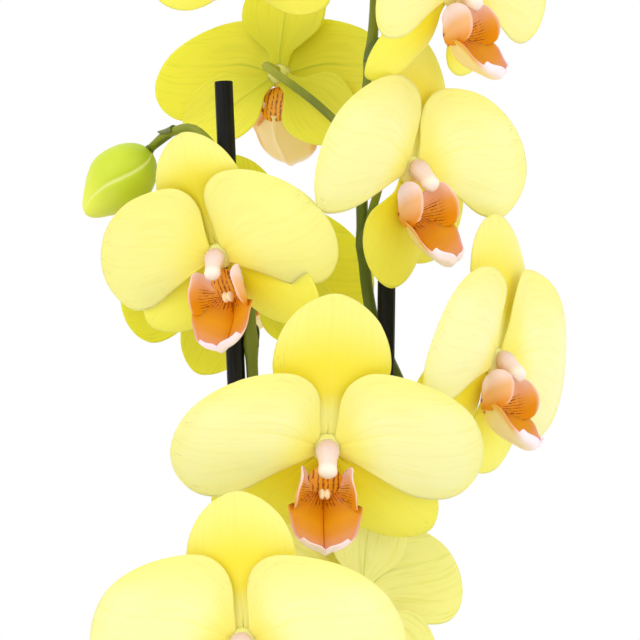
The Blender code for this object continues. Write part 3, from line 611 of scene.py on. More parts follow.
# ---------------------------------------------------------------------------------------------------
# Spikes: each flower stem grows from the crown beside its stake, thins upwards and bears a papery bract at
# every node. A bloom's stalk leaves the stem there, paler and yellower towards the bloom.
# ---------------------------------------------------------------------------------------------------
SPIKES = {
    "left": [(-2.2, -11.1, 121), (-4.2, -14.4, 142), (-8.7, -12.2, 200), (-13.2, -7.4, 300),
             (-16.9, -3.4, 380), (-19.7, -1.0, 437), (-21.2, -1.8, 468), (-26.4, -4.2, 490),
             (-35.5, -2.0, 502.5), (-44.0, 5.5, 502), (-49.2, 11.4, 498.2)],
    "right": [(2.0, 11.2, 122), (5.6, 19.0, 152), (13.8, 21.6, 200), (20.0, 19.2, 280), (24.8, 16.0, 350),
              (26.6, 14.0, 400), (25.0, 13.6, 424), (15.5, 13.8, 448), (12.4, 12.4, 475), (13.0, 10.0, 505),
              (16.0, 8.5, 541), (14.5, 7.5, 566), (7.0, 5.0, 582), (-2.0, 1.0, 589)],
}
SPIKE_RADII = [2.3, 2.1, 1.95, 1.85, 1.7, 1.25]
LOWER_NODES = (172, 228, 288)
BUD_NODE = 566  # height on the right spike at which its larger bud's stalk leaves it
NODES = {  # height on the spike at which each bloom's stalk leaves it
    "left_1": 334, "left_2": 347, "left_3": 392, "left_4": 441, "left_5": 455,
    "right_1": 414, "right_2": 470, "right_3": 498, "right_4": 524, "right_5": 560,
}
STALK_WAYS = {"left_2": [(-8, -21, 342), (6, -32, 349), (16, -26, 360)]}
BUDS = {
    "left": dict(at=(-49.7, 12.0, 497.6), tip=(-0.70, 0.0, -0.71), size=(26.5, 19.0)),
    "right_1": dict(at=(14.5, -4.5, 586.0), tip=(0.15, -0.86, -0.45), size=(19.0, 13.5)),
    "right_2": dict(at=(-2.6, 0.8, 589.4), tip=(-0.80, -0.25, 0.35), size=(13.0, 9.0)),
}

# Each bloom: where its parts meet (mm), the degrees it yaws towards +X, nods down and rolls to its right,
# and its scale. Then, for its left and right sides, the petals' lift (degrees), backward sweep (mm), breadth
# and reach, and the lateral sepals' backward sweep (mm), angle below level and plumpness. Last, the dorsal
# sepal's backward sweep (mm), the size of the dorsal and of the lateral sepals, and the lip's size and
# share of its full width.
BLOOMS = {
    "left_1": dict(at=(-20.9, -46, 359.2), yaw=-10, nod=13, roll=-1, scale=1.03, lift=(4, 4),
                   sweep=(5.7, 5.7), breadth=(1.05, 1.05), reach=(1.0, 1.0), spread=(3.4, 3.4),
                   laterals=(38, 38), reflex=2.4, sepals=(0.92, 0.92), plump=(1.0, 1.0), lip=(1.08, 1.0)),
    "left_2": dict(at=(11.0, -9.0, 366.8), yaw=214, nod=2, roll=-8, scale=0.83, lift=(22, 22),
                   sweep=(3.9, 3.9), breadth=(1.06, 1.06), reach=(1.0, 1.0), spread=(3.4, 3.4),
                   laterals=(38, 38), reflex=2.5, sepals=(0.96, 0.96), plump=(1.0, 1.0), lip=(1.0, 1.0)),
    "left_3": dict(at=(1.9, -30, 412.5), yaw=3, nod=26, roll=2.5, scale=1.01, lift=(0, 1), sweep=(2.0, 4.0),
                   breadth=(1.02, 1.03), reach=(1.0, 1.02), spread=(5.0, 2.0), laterals=(47, 41), reflex=4.0,
                   sepals=(1.0, 1.0), plump=(0.95, 0.95), lip=(1.10, 1.0)),
    "left_4": dict(at=(-22.1, 31, 462.0), yaw=189, nod=-3, roll=10, scale=0.89, lift=(-12, -2),
                   sweep=(4.2, 4.2), breadth=(1.05, 1.05), reach=(1.0, 1.0), spread=(2.9, 2.9),
                   laterals=(45, 53), reflex=5.4, sepals=(0.90, 0.90), plump=(1.0, 1.0), lip=(1.0, 1.0)),
    "left_5": dict(at=(-28.4, -22, 466.2), yaw=-19, nod=23, roll=-12, scale=0.88, lift=(8.0, 2),
                   sweep=(5.0, 16.0), breadth=(1.08, 1.17), reach=(0.99, 0.85), spread=(-1.0, -1.8),
                   laterals=(30, 46), reflex=4.0, sepals=(0.92, 0.90), plump=(0.97, 0.93), lip=(1.26, 0.92)),
    "right_1": dict(at=(50.1, 3, 435.9), yaw=54, nod=8, roll=13.5, scale=0.98, lift=(-1, 6.5),
                    sweep=(-4.5, 2.5), breadth=(1.14, 1.29), reach=(1.0, 0.98), spread=(5.0, 6.0),
                    laterals=(50, 45), reflex=9.0, sepals=(0.99, 0.95), plump=(1.18, 1.22), lip=(1.14, 0.9)),
    "right_2": dict(at=(25.8, -2.5, 491.0), yaw=42, nod=11, roll=-1, scale=0.99, lift=(10.5, 6),
                    sweep=(-6.0, -5.0), breadth=(1.14, 1.04), reach=(0.99, 0.94), spread=(-2.0, 4.0),
                    laterals=(86, 46), reflex=6.0, sepals=(0.90, 0.84), plump=(1.05, 1.30), lip=(1.22, 0.8)),
    "right_3": dict(at=(-12.4, 37, 521.3), yaw=160, nod=18, roll=-1, scale=0.87, lift=(-4, -4),
                    sweep=(7.0, 7.0), breadth=(0.97, 0.97), reach=(1.0, 1.0), spread=(1.0, 1.0),
                    laterals=(38, 38), reflex=1.5, sepals=(0.93, 0.93), plump=(1.0, 1.0), lip=(1.28, 1.0)),
    "right_4": dict(at=(37.0, -12, 541.4), yaw=52, nod=8, roll=-2, scale=0.97, lift=(6, 5),
                    sweep=(-4.0, -3.0), breadth=(1.10, 1.06), reach=(0.96, 1.0), spread=(8.0, 5.0),
                    laterals=(48, 30), reflex=4.2, sepals=(0.90, 0.86), plump=(0.72, 1.30), lip=(1.14, 0.82)),
    "right_5": dict(at=(-24.0, -6, 560.0), yaw=-24, nod=8, roll=4, scale=0.86, lift=(2, 2), sweep=(5.0, 5.0),
                    breadth=(1.04, 1.04), reach=(1.0, 1.0), spread=(3.0, 3.0), laterals=(38, 38), reflex=4.0,
                    sepals=(0.96, 0.96), plump=(1.0, 1.0), lip=(1.05, 1.0)),
}


def bloom_place(shape):
    """Turns a bloom's own frame, in metres, to its place. There it faces -Y and its dorsal sepal is up."""
    yaw = Matrix.Rotation(math.radians(shape["yaw"]), 4, "Z")
    nod = Matrix.Rotation(math.radians(shape["nod"]), 4, "X")
    roll = Matrix.Rotation(math.radians(shape["roll"]), 4, "Y")
    return Matrix.Translation(Vector(shape["at"]) * MM) @ yaw @ nod @ roll @ Matrix.Scale(shape["scale"], 4)


def at_height(line, height):
    for a, b in zip(line, line[1:]):
        if a.z <= height <= b.z:
            return a.lerp(b, (height - a.z) / (b.z - a.z)), (b - a).normalized()
    return line[-1], (line[-1] - line[-2]).normalized()


def stalk_line(line, name):
    start, _ = at_height(line, NODES[name])
    place = bloom_place(BLOOMS[name])
    end, behind = [place @ Vector(p) * 1000 for p in ((0, 3.0 * MM, 0.2 * MM), (0, 10.0 * MM, -1.5 * MM))]
    way = [Vector(p) for p in STALK_WAYS.get(name, ())] or [start.lerp(behind, 0.5) + Vector((0, 0, 1.5))]
    return smooth_line([start, *way, behind, end], 44)


def add_bract(bm, foot, along, out, radius, length):
    """A pointed scale that clasps the stem at a node, its free tip leaning out."""
    side = along.cross(out).normalized()
    out = side.cross(along).normalized()

    def surface(u, v):
        angle = (v - 0.5) * math.radians(230) * (1 - u) ** 0.55
        reach = radius + 0.25 + 1.3 * u**1.6
        return foot + along * (u * length - 1.0) + (out * math.cos(angle) + side * math.sin(angle)) * reach

    add_blade(bm, surface, 10, 12, lambda u, v: 0.45 * (1 - 0.6 * u), out, kind=1.0)


def stalk_radius(share):
    return 1.75 - 0.5 * rounded(share / 0.12) + 0.45 * rounded((share - 0.84) / 0.16)


def spike_paint():
    paint = Paint("flower stem green")
    tone = paint.layer("tone")
    streaks = paint.grain(90.0, 4.0, paint.stretched((2.2, 2.2, 0.35)))
    cloud = paint.grain(38.0, 2.0)
    colour = paint.ramp(tone * 0.8 + streaks * 0.22 + cloud * 0.16 - 0.12,
                        (0.0, hue(58, 74, 14)), (0.45, hue(84, 100, 18)), (0.75, hue(138, 146, 28)),
                        (1.0, hue(196, 196, 66)))
    bract = paint.mix(streaks, hue(70, 92, 24), hue(122, 128, 62))
    colour = paint.mix(paint.layer("kind"), colour, bract)
    paint.set(Base_Color=colour, Roughness=0.36 + 0.2 * streaks, Specular_IOR_Level=0.4,
              Subsurface_Weight=0.12, Subsurface_Radius=(0.6, 1.0, 0.2), Subsurface_Scale=0.8 * MM,
              Normal=paint.bump(streaks, 0.3, 0.25))
    return paint


def make_spikes():
    paint = spike_paint()
    for side, knots in SPIKES.items():
        line = smooth_line(knots, 190)
        nodes = {f"bare_{height}": at_height(line, height) for height in LOWER_NODES}
        nodes.update({name: at_height(line, NODES[name]) for name in NODES if name.startswith(side)})
        lowest, highest = line[0].z, max(point.z for point in line)

        def radius(share):
            point = between(line, share)
            swell = sum(math.exp(-((point - spot).length / 3.4) ** 2) for spot, _ in nodes.values())
            return between(SPIKE_RADII, share) + 0.55 * min(swell, 1.2)

        def tone(share):
            return 0.05 + 0.75 * rounded((between(line, share).z - lowest) / (highest - lowest) * 1.5 - 0.55)

        bm = new_bm("tone", *BLADE_LAYERS)
        add_stem(bm, line, radius, tone, 16)
        for number, (name, (spot, along)) in enumerate(nodes.items()):
            out = Vector((math.cos(number * 2.6), math.sin(number * 2.6), 0))
            if name in BLOOMS:
                stalk = stalk_line(line, name)
                out = stalk[6] - stalk[0]
                start_tone = 0.45 if name in ("left_1", "left_2", "left_3") else 0.7
                add_stem(bm, stalk, stalk_radius,
                         lambda share: start_tone + 0.35 * rounded((share - 0.3) / 0.7), 12)
            stem_size = between(SPIKE_RADII, (spot.z - lowest) / (highest - lowest))
            add_bract(bm, spot, along, out, stem_size + 0.2, 7.5 if name in BLOOMS else 9.5)
        for bud in ("right_1", "right_2") if side == "right" else ("left",):
            at, tip = Vector(BUDS[bud]["at"]), Vector(BUDS[bud]["tip"]).normalized()
            if bud == "right_1":
                start, neck = at_height(line, BUD_NODE)[0], at - tip * 4
                stalk = smooth_line([start, start.lerp(neck, 0.6), neck, at + tip * 0.6], 24)
            else:
                start = line[-6]
                stalk = smooth_line([start, line[-1], at + tip * 0.6], 12)
            add_stem(bm, stalk, lambda share: 1.15 + 0.5 * rounded((share - 0.8) / 0.2),
                     lambda share: 0.55, 12)
            add_bract(bm, start, (stalk[2] - stalk[0]).normalized(), Vector((0, 0, 1)), 1.3, 6.5)
        bmesh.ops.recalc_face_normals(bm, faces=bm.faces[:])
        show(f"flower_stem_{side}", bm, paint, "spike", f"spike_{side}")


make_spikes()


# ---------------------------------------------------------------------------------------------------
# Buds: fat pointed ovals at the spikes' tips, still shut. Three sepals wrap each one, and their edges meet
# in curved seams that are paler than the green between them.
# ---------------------------------------------------------------------------------------------------
def make_buds():
    paint = Paint("green bud")
    seam, down = paint.layer("seam"), paint.layer("down")
    cloud = paint.grain(110.0, 3.0)
    green = paint.mix(paint.step(down, 0.40, 1.0), hue(206, 222, 44), hue(238, 242, 84))
    green = paint.mix(paint.step(down, 0.30, 0.0) * 0.6, green, hue(160, 192, 30))
    green = paint.mix(cloud * 0.4, green, hue(200, 214, 66))
    green = paint.mix(paint.step(seam, 0.40, 0.95) * 0.7, green, hue(236, 240, 150))
    paint.set(Base_Color=green, Roughness=0.42, Specular_IOR_Level=0.35, Subsurface_Weight=0.25,
              Subsurface_Radius=(1.0, 1.0, 0.3), Subsurface_Scale=1.5 * MM,
              Normal=paint.bump(cloud, 0.15, 0.3))
    for name, bud in BUDS.items():
        length, width = bud["size"]
        bm = bmesh.new()
        seams, depth = bm.verts.layers.float.new("seam"), bm.verts.layers.float.new("down")
        bmesh.ops.create_uvsphere(bm, u_segments=144, v_segments=64, radius=0.5)
        for vert in bm.verts:
            down = 0.5 - vert.co.z
            slim = 1.0 - 0.35 * rounded((down - 0.45) / 0.55)
            angle = math.atan2(vert.co.y, vert.co.x) + 1.1 * down
            turn = (3 * angle / (2 * math.pi)) % 1.0
            edge = math.exp(-(min(turn, 1 - turn) / 0.045) ** 2)
            lap = 0.035 * math.exp(-(turn / 0.22)) - 0.03 * edge
            ridge = 0.022 * math.cos(2 * math.pi * (turn - 0.5)) + lap
            size = width * slim * (1 + ridge * math.sin(math.pi * min(down, 1)) ** 0.6)
            vert.co = Vector((vert.co.x * size, vert.co.y * size, -down * length)) * MM
            vert[seams], vert[depth] = edge, down
        turn = Vector(bud["tip"]).to_track_quat("-Z", "X").to_matrix().to_4x4()
        bmesh.ops.transform(bm, matrix=Matrix.Translation(Vector(bud["at"]) * MM) @ turn, verts=bm.verts[:])
        show(f"green_bud_{name}", bm, paint, "bud", f"bud_{name}")


make_buds()


# ---------------------------------------------------------------------------------------------------
# Petals and sepals: two wide petals in front of three narrower sepals, grown together behind the column.
# Each is one thin soft blade with fine veins that fan out from its foot, lemon yellow with a paler middle
# on the petals, a stronger yellow on the sepals, and a green flush behind.
# ---------------------------------------------------------------------------------------------------
PETAL_OUTLINE = [(2.2, 2.6), (2.6, 9.0), (3.2, 15.5), (6.2, 20.4), (12.5, 22.6), (22.5, 21.0), (32.4, 16.0),
                 (39.8, 8.4), (43.2, -1.5), (41.4, -10.2), (35.2, -15.6), (26.2, -14.3), (16.0, -8.1),
                 (7.5, -3.3), (2.2, -1.4)]
SEPAL_HALF = [(2.0, 3.2), (8.0, 4.6), (12.0, 9.0), (16.0, 13.8), (20.4, 16.0), (25.5, 16.3), (31.5, 14.9),
              (37.5, 11.6), (42.2, 6.4)]
SEPAL_LENGTH = 44.5
SEPAL_OUTLINE = [*SEPAL_HALF, (SEPAL_LENGTH, 0.0), *[(x, -z) for x, z in reversed(SEPAL_HALF)]]
PETAL_LENGTH, PETAL_HALF_WIDTH, SEPAL_HALF_WIDTH = 43.0, 18.0, 16.3
LATERAL_LENGTH_SHARE, LATERAL_WIDTH_SHARE = 0.93, 0.84
PETAL, DORSAL, LATERAL = 0.0, 0.5, 1.0  # the kinds that the finish tells apart
# How ripe each bloom looks, a stronger yellow on its petals. The same value sets how much painted shade
# darkens its dorsal sepal low down. Blooms left out are 0.
RIPENESS_AND_SHADE = {"left_2": 0.1, "left_4": 0.8, "left_5": 0.75, "right_2": 0.15, "right_3": 0.9, "right_4": 0.4}


def petal_surface(shape, side, seed):
    """The wide petal on one side (+1 right, -1 left): domed forwards, its far end swept back."""
    lift, sweep, breadth, reach = [shape[key][side > 0] for key in ("lift", "sweep", "breadth", "reach")]
    plane = patch([(x * reach, z * breadth, 0) for x, z in PETAL_OUTLINE], 0.34, 0.66)
    turn = Matrix.Rotation(math.radians(lift), 3, "Z")

    def surface(u, v):
        spot = plane(u, v)
        along = spot.x / PETAL_LENGTH
        across = (spot.y - 3.5 + 0.10 * spot.x) / PETAL_HALF_WIDTH
        rim = max(abs(2 * v - 1), u) ** 5
        depth = 0.3 + 1.5 * rounded(along / 0.2) + 3.4 * math.sin(math.pi * min(max(along, 0.0), 1.0)) ** 1.2
        depth -= sweep * along**2 + 2.2 * across**2 * rounded(along / 0.25)
        depth += 0.55 * rim * math.sin(9 * u + 5 * v + seed)
        depth -= 0.35 * math.exp(-((v - 0.5) / 0.05) ** 2) * (1 - u)
        depth += 0.22 * math.sin(26 * v + seed) * u * (1 - u) * (1 - rim)
        flat = turn @ spot
        return Vector((side * flat.x, -depth, flat.y))

    return surface


def sepal_surface(angle, length_share, width_share, dome, reflex, side, seed):
    """A sepal whose axis points at the angle above level, on one side."""
    plane = patch([(x * length_share, z * width_share, 0) for x, z in SEPAL_OUTLINE], 0.36, 0.64)
    turn = Matrix.Rotation(math.radians(angle), 3, "Z")
    length = SEPAL_LENGTH * length_share

    def surface(u, v):
        spot = plane(u, v)
        along = spot.x / length
        across = spot.y / (SEPAL_HALF_WIDTH * width_share)
        rim = max(abs(2 * v - 1), u) ** 5
        depth = -0.9 - 0.8 * rounded(along / 0.25) + dome * math.sin(math.pi * min(max(along, 0.0), 1.0))
        depth -= reflex * along**2 + 2.4 * across**2 * rounded(along / 0.3)
        depth += 0.35 * rim * math.sin(7 * u + 4 * v + seed)
        depth -= 0.4 * math.exp(-((v - 0.5) / 0.045) ** 2) * (1 - u)
        flat = turn @ spot
        return Vector((side * flat.x, -depth, flat.y))

    return surface


def tepal_thickness(u, v):
    edge = min(1.0, 5 * min(v, 1 - v)) * min(1.0, 5 * (1 - u))
    return 0.28 + 0.42 * edge + 0.35 * (1 - u) ** 2 + 0.3 * math.exp(-((v - 0.5) / 0.05) ** 2) * (1 - u)


def tepal_paint():
    paint = Paint("lemon petal")
    along, across = paint.layer("along"), paint.layer("across")
    front, kind, ripe = paint.layer("front"), paint.layer("kind"), paint.layer("ripe")
    veins = paint.fan(across * 30.0, along * 2.6, kind * 7.0, 4.0)
    fine = paint.fan(across * 90.0, along * 9.0, kind * 5.0, 5.0)
    cloud = paint.grain(42.0, 3.0)
    rib = paint.step(across, 0.475, 0.5) * paint.step(across, 0.525, 0.5) * paint.step(along, 0.9, 0.2)
    margin = paint.step(across, 0.16, 0.0) + paint.step(across, 0.84, 1.0) + paint.step(along, 0.86, 1.0)

    petal = paint.mix(paint.step(along, 0.10, 0.45), hue(250, 238, 112), hue(253, 247, 174))
    # Deeper yellow towards the petal's upper edge: partly its own colour, partly painted shade near its inner
    # top.
    petal = paint.mix(paint.step(across, 0.42, 0.10) * 0.7, petal, hue(252, 238, 128))
    petal = paint.mix(margin * 0.35, petal, hue(252, 240, 120))
    strong = paint.mix(paint.step(along, 0.1, 0.6), hue(250, 232, 96), hue(252, 240, 132))
    petal = paint.mix(ripe, petal, strong)
    # Dorsal sepal: deeper yellow low down, partly its own colour and partly painted shade under the petals;
    # paler towards the top, partly its own colour and partly painted light from above.
    dorsal = paint.mix(paint.step(along, 0.16, 0.40), hue(250, 240, 140), hue(246, 226, 58))
    dorsal = paint.mix(paint.step(along, 0.55, 0.95), dorsal, hue(252, 240, 134))
    # On riper blooms the dorsal sepal's lower part is darkened further: painted shade where it curves back.
    dorsal = paint.mix(ripe * paint.step(along, 0.85, 0.55) * 0.9, dorsal, hue(216, 200, 12))
    lateral = paint.mix(paint.step(along, 0.25, 0.85), hue(244, 228, 26), hue(255, 243, 94))
    face = paint.mix(paint.step(kind, 0.2, 0.3), petal, dorsal)
    face = paint.mix(paint.step(kind, 0.7, 0.8), face, lateral)
    face = paint.mix(rib * 0.35, face, hue(244, 232, 96))
    face = paint.mix(paint.step(veins, 0.50, 0.66) * 0.16, face, hue(236, 218, 84))

    back = paint.mix(paint.step(along, 0.0, 0.8), hue(214, 212, 34), hue(238, 230, 66))
    back = paint.mix(paint.step(ripe, 0.5, 0.2) * 0.75, back, hue(248, 242, 158))
    back = paint.mix(rib * 0.7, back, hue(176, 186, 40))
    back = paint.mix(paint.step(veins, 0.48, 0.66) * 0.3, back, hue(206, 206, 50))
    colour = paint.mix(front, back, face)
    nicks = paint.step(fine, 0.62, 0.68) * paint.step(cloud, 0.46, 0.60) * margin * front
    colour = paint.mix(nicks * 0.45, colour, hue(150, 120, 110))
    paint.set(Base_Color=colour, Roughness=0.50, Specular_IOR_Level=0.28, Sheen_Weight=0.12,
              Sheen_Roughness=0.5, Subsurface_Weight=0.45, Subsurface_Radius=(1.0, 0.9, 0.25),
              Subsurface_Scale=1.6 * MM, Normal=paint.bump(veins * 0.6 + fine * 0.35, 0.16, 0.30))
    return paint


def make_tepals():
    paint = tepal_paint()
    for number, (name, shape) in enumerate(BLOOMS.items()):
        place = bloom_place(shape)
        ripe = RIPENESS_AND_SHADE.get(name, 0.0)
        seed = number * 2.1
        bm = new_bm(*BLADE_LAYERS)
        size, lateral_size = shape["sepals"]
        dorsal = sepal_surface(90, size, size, 1.6, shape["reflex"], 1, seed)
        add_blade(bm, dorsal, 40, 28, tepal_thickness, (0, -1, 0), DORSAL, ripe, place)
        for side in (-1, 1):
            petal = petal_surface(shape, side, seed + side)
            add_blade(bm, petal, 44, 40, tepal_thickness, (0, -1, 0), PETAL, ripe, place)
            spread, angle, plump = [shape[key][side > 0] for key in ("spread", "laterals", "plump")]
            length_share = LATERAL_LENGTH_SHARE * lateral_size
            width_share = LATERAL_WIDTH_SHARE * lateral_size * plump
            lateral = sepal_surface(-angle, length_share, width_share, 1.4, spread, side, seed + 2 * side)
            add_blade(bm, lateral, 40, 28, tepal_thickness, (0, -1, 0), LATERAL, ripe, place)
        cup = turned([(0, 2.4), (1.2, 2.4), (2.4, 1.6), (3.5, 0.2), (4.4, -1.6), (3.6, -3.0), (1.5, -3.6),
                      (0, -3.7)], 28)
        seat = Matrix.Translation((0, 1.0 * MM, 0)) @ Matrix.Rotation(math.radians(-90), 4, "X")
        bmesh.ops.transform(cup, matrix=place @ seat, verts=cup.verts[:])
        for name_of_layer, value in (("along", 0.15), ("across", 0.3)):
            layer = cup.verts.layers.float.new(name_of_layer)
            for vert in cup.verts:
                vert[layer] = value
        add_part(bm, cup)
        show(f"petals_{name}", bm, paint, "tepal", f"bloom_{name}_tepals")


make_tepals()


# ---------------------------------------------------------------------------------------------------
# Column: the short waxy rod above the lip that carries the anther under a rounded cap. It is pinkish grey
# where it leaves the petals, and ivory white at the cap.
# ---------------------------------------------------------------------------------------------------
def make_columns():
    paint = Paint("waxy column")
    tone = paint.layer("tone")
    cloud = paint.grain(240.0, 3.0)
    colour = paint.mix(paint.step(tone, 0.05, 0.60), hue(222, 188, 170), hue(242, 218, 202))
    colour = paint.mix(paint.step(tone, 0.62, 0.80), colour, hue(252, 240, 222))
    colour = paint.mix(cloud * 0.25, colour, hue(240, 218, 220))
    paint.set(Base_Color=colour, Roughness=0.36, Specular_IOR_Level=0.4, Subsurface_Weight=0.35,
              Subsurface_Radius=(1.0, 0.8, 0.6), Subsurface_Scale=1.2 * MM,
              Normal=paint.bump(cloud, 0.12, 0.15))
    radii = [2.0, 2.7, 2.9, 2.7, 2.5, 2.5, 2.6, 2.75, 2.85]

    def girth(share):
        return between(radii, share) * math.sqrt(max(1 - (max(share - 0.80, 0) / 0.20) ** 2, 0.02))

    for name, shape in BLOOMS.items():
        bm = new_bm("tone")
        line = smooth_line([(0, -1.6, 1.6), (0, -4.0, 0.9), (0, -7.6, -1.2), (0, -10.9, -4.0)], 40)
        add_stem(bm, line, girth, lambda share: share, 32)
        for vert in bm.verts:  # the wings along its sides, and the hollow with the beak under the cap
            y, z = vert.co.y / MM, vert.co.z / MM
            vert.co.x *= 1.0 + 0.16 * math.exp(-((y + 4.5) / 2.2) ** 2)
            if z < -3.4 and y > -9.6:
                vert.co.z += 0.7 * MM * rounded((-3.4 - z) / 1.4)
        bmesh.ops.transform(bm, matrix=bloom_place(shape), verts=bm.verts[:])
        bmesh.ops.recalc_face_normals(bm, faces=bm.faces[:])
        show(f"column_{name}", bm, paint, "column", f"bloom_{name}_column")


make_columns()


# ---------------------------------------------------------------------------------------------------
# Lip: the bloom's third petal, three-lobed. Two side lobes stand like ears round the column, and the front
# lobe is a pointed arrowhead, folded along its middle, with a warty callus in its throat. It is orange,
# striped red brown in the throat and pink along its edges.
# ---------------------------------------------------------------------------------------------------
MIDLOBE_HALF = [(0.0, 4.6), (2.4, 6.8), (4.6, 9.2), (6.8, 11.2), (9.4, 10.9), (13.2, 9.2), (17.0, 7.2),
                (20.2, 5.2)]
MIDLOBE_LENGTH = 21.8
MIDLOBE_OUTLINE = [*MIDLOBE_HALF, (MIDLOBE_LENGTH, 0.0), *[(x, -z) for x, z in reversed(MIDLOBE_HALF)]]
SIDE_LOBE_OUTLINE = [(1.6, -10.4), (2.2, -7.0), (5.0, -4.2), (9.0, -3.9), (12.2, -6.4), (13.2, -10.0),
                     (11.6, -13.0), (7.4, -14.6), (2.8, -14.2)]
LIP_MIDDLE = (0.0, -5.0, -11.0)  # the point that a lip's own size is measured from
MIDLOBE, SIDE_LOBE, CALLUS = 0.0, 0.5, 1.0  # the kinds that the finish tells apart


def midlobe_line():
    """(depth, height) of the front lobe's spine at every half millimetre: down, then forwards, then up."""
    line, depth, height = [], 1.7, -14.0
    for k in range(2 * 26):
        line.append(Vector((depth, height)))
        slope = math.radians(-50 + 34 * rounded(k / 22) + 44 * rounded((k - 30) / 12))
        depth += math.cos(slope) * 0.5
        height += math.sin(slope) * 0.5
    return line


MIDLOBE_SPINE = midlobe_line()
MIDLOBE_PLANE = patch([(x, z, 0) for x, z in MIDLOBE_OUTLINE], 0.40, 0.60)


def midlobe_surface(u, v):
    spot = MIDLOBE_PLANE(u, v)
    place = between(MIDLOBE_SPINE, max(spot.x, 0.0) * 2 / (len(MIDLOBE_SPINE) - 1))
    ahead = between(MIDLOBE_SPINE, (max(spot.x, 0.0) + 0.5) * 2 / (len(MIDLOBE_SPINE) - 1))
    normal = Vector((place.y - ahead.y, ahead.x - place.x)).normalized()
    fold = math.radians(34 - 20 * rounded((spot.x - 7) / 12))
    margin = abs(2 * v - 1)
    rise = abs(spot.y) * math.sin(fold) + 1.1 * margin**4 * rounded((u - 0.35) / 0.4)
    rise += 1.5 * rounded((u - 0.9) / 0.1) - 0.45 * math.exp(-(spot.y / 0.9) ** 2) * rounded(u / 0.2)
    rise += 0.18 * math.sin(u * 21 + 2) * margin**3
    return Vector((spot.y * math.cos(fold), -(place.x + normal.x * rise), place.y + normal.y * rise))


def side_lobe_surface(side):
    plane = patch([(x, z, 0) for x, z in SIDE_LOBE_OUTLINE], 0.33, 0.67)

    def surface(u, v):
        spot = plane(u, v)
        low = rounded((-4 - spot.y) / 10)
        spread = 2.8 + (3.6 + 1.8 * low) * math.sin(math.pi / 2 * min(max(u, 0.0), 1.0)) ** 0.8
        spread += 0.25 * math.sin(9 * v + 3 * u) * u**2
        return Vector((side * spread, -spot.x, spot.y))

    return surface


def lip_thickness(u, v):
    return 0.30 + 0.5 * min(1.0, 4 * min(v, 1 - v)) * min(1.0, 4 * (1 - u)) + 0.3 * (1 - u) ** 3


def lip_paint():
    paint = Paint("orange lip")
    along, across = paint.layer("along"), paint.layer("across")
    front, kind = paint.layer("front"), paint.layer("kind")
    cloud = paint.grain(160.0, 4.0)
    middle = 1.0 - paint.node("ShaderNodeMath", {"operation": "ABSOLUTE"}, {0: across * 2.0 - 1.0})
    rows = (across * 26.0, along * 7.0, kind * 9.0)
    wobble = paint.fan(*rows, 2.0)
    lines = paint.node("ShaderNodeMath", {"operation": "SINE"}, {0: across * 88.0 + wobble * 7.0})
    breaks = paint.fan(across * 30.0, along * 22.0, kind * 4.0, 1.0)
    dashes = paint.step(lines, 0.15, 0.65) * paint.step(breaks, 0.40, 0.48)

    upper = paint.ramp(along + (cloud - 0.5) * 0.10,
                       (0.0, hue(216, 126, 4)), (0.22, hue(218, 140, 4)), (0.45, hue(226, 156, 8)),
                       (0.62, hue(218, 144, 40)), (0.78, hue(218, 150, 104)), (0.92, hue(226, 166, 162)),
                       (1.0, hue(248, 222, 236)))
    edge = paint.step(middle, 0.12, 0.0) * paint.step(along, 0.45, 0.75)
    upper = paint.mix(edge * 0.7, upper, hue(226, 160, 184))
    corner = paint.step(middle, 0.34, 0.05) * paint.step(along, 0.20, 0.32) * paint.step(along, 0.50, 0.36)
    upper = paint.mix(corner * 0.7, upper, hue(142, 92, 16))
    line = paint.step(middle, 0.955, 0.985) * paint.step(along, 0.08, 0.14)
    upper = paint.mix(line * 0.8, upper, hue(140, 50, 22))
    flush = paint.step(middle, 0.72, 1.0) * paint.step(along, 0.68, 0.96)
    upper = paint.mix(flush * 0.7, upper, hue(206, 106, 118))
    upper = paint.mix(dashes * paint.step(along, 0.26, 0.12) * 0.85, upper, hue(112, 36, 12))
    under = paint.mix(paint.step(middle, 0.35, 0.0), hue(244, 218, 158), hue(232, 170, 70))
    under = paint.mix(paint.step(along, 0.7, 1.0) * 0.9, under, hue(252, 232, 244))
    lobe = paint.mix(front, under, upper)

    height = paint.ramp(across + (cloud - 0.5) * 0.16,
                        (0.0, hue(250, 216, 222)), (0.25, hue(246, 198, 166)), (0.48, hue(238, 172, 74)),
                        (0.72, hue(232, 158, 20)), (1.0, hue(236, 164, 8)))
    striped = dashes * paint.step(along, 0.72, 0.45) * paint.step(across, 0.30, 0.45)
    height = paint.mix(striped * 0.8, height, hue(124, 46, 16))
    outside = paint.mix(paint.step(across, 0.15, 0.55), hue(244, 218, 222), hue(236, 178, 128))
    outside = paint.mix(paint.step(across, 0.55, 0.95), outside, hue(226, 140, 30))
    ear = paint.mix(front, outside, height)
    ear = paint.mix(paint.step(along, 0.90, 1.0) * 0.5, ear, hue(244, 204, 196))

    wart = paint.mix(paint.step(cloud, 0.55, 0.66), hue(252, 240, 200), hue(222, 150, 84))
    colour = paint.mix(paint.step(kind, 0.2, 0.3), lobe, ear)
    colour = paint.mix(paint.step(kind, 0.7, 0.8), colour, wart)
    paint.set(Base_Color=colour, Roughness=0.34 + 0.12 * cloud, Specular_IOR_Level=0.35,
              Emission_Color=colour, Emission_Strength=0.09,  # stands in for light that shines through
              Subsurface_Weight=0.15, Subsurface_Radius=(1.0, 0.6, 0.3), Subsurface_Scale=0.6 * MM,
              Normal=paint.bump(paint.fan(*rows, 4.0) * 0.5 + cloud * 0.5, 0.22, 0.25))
    return paint


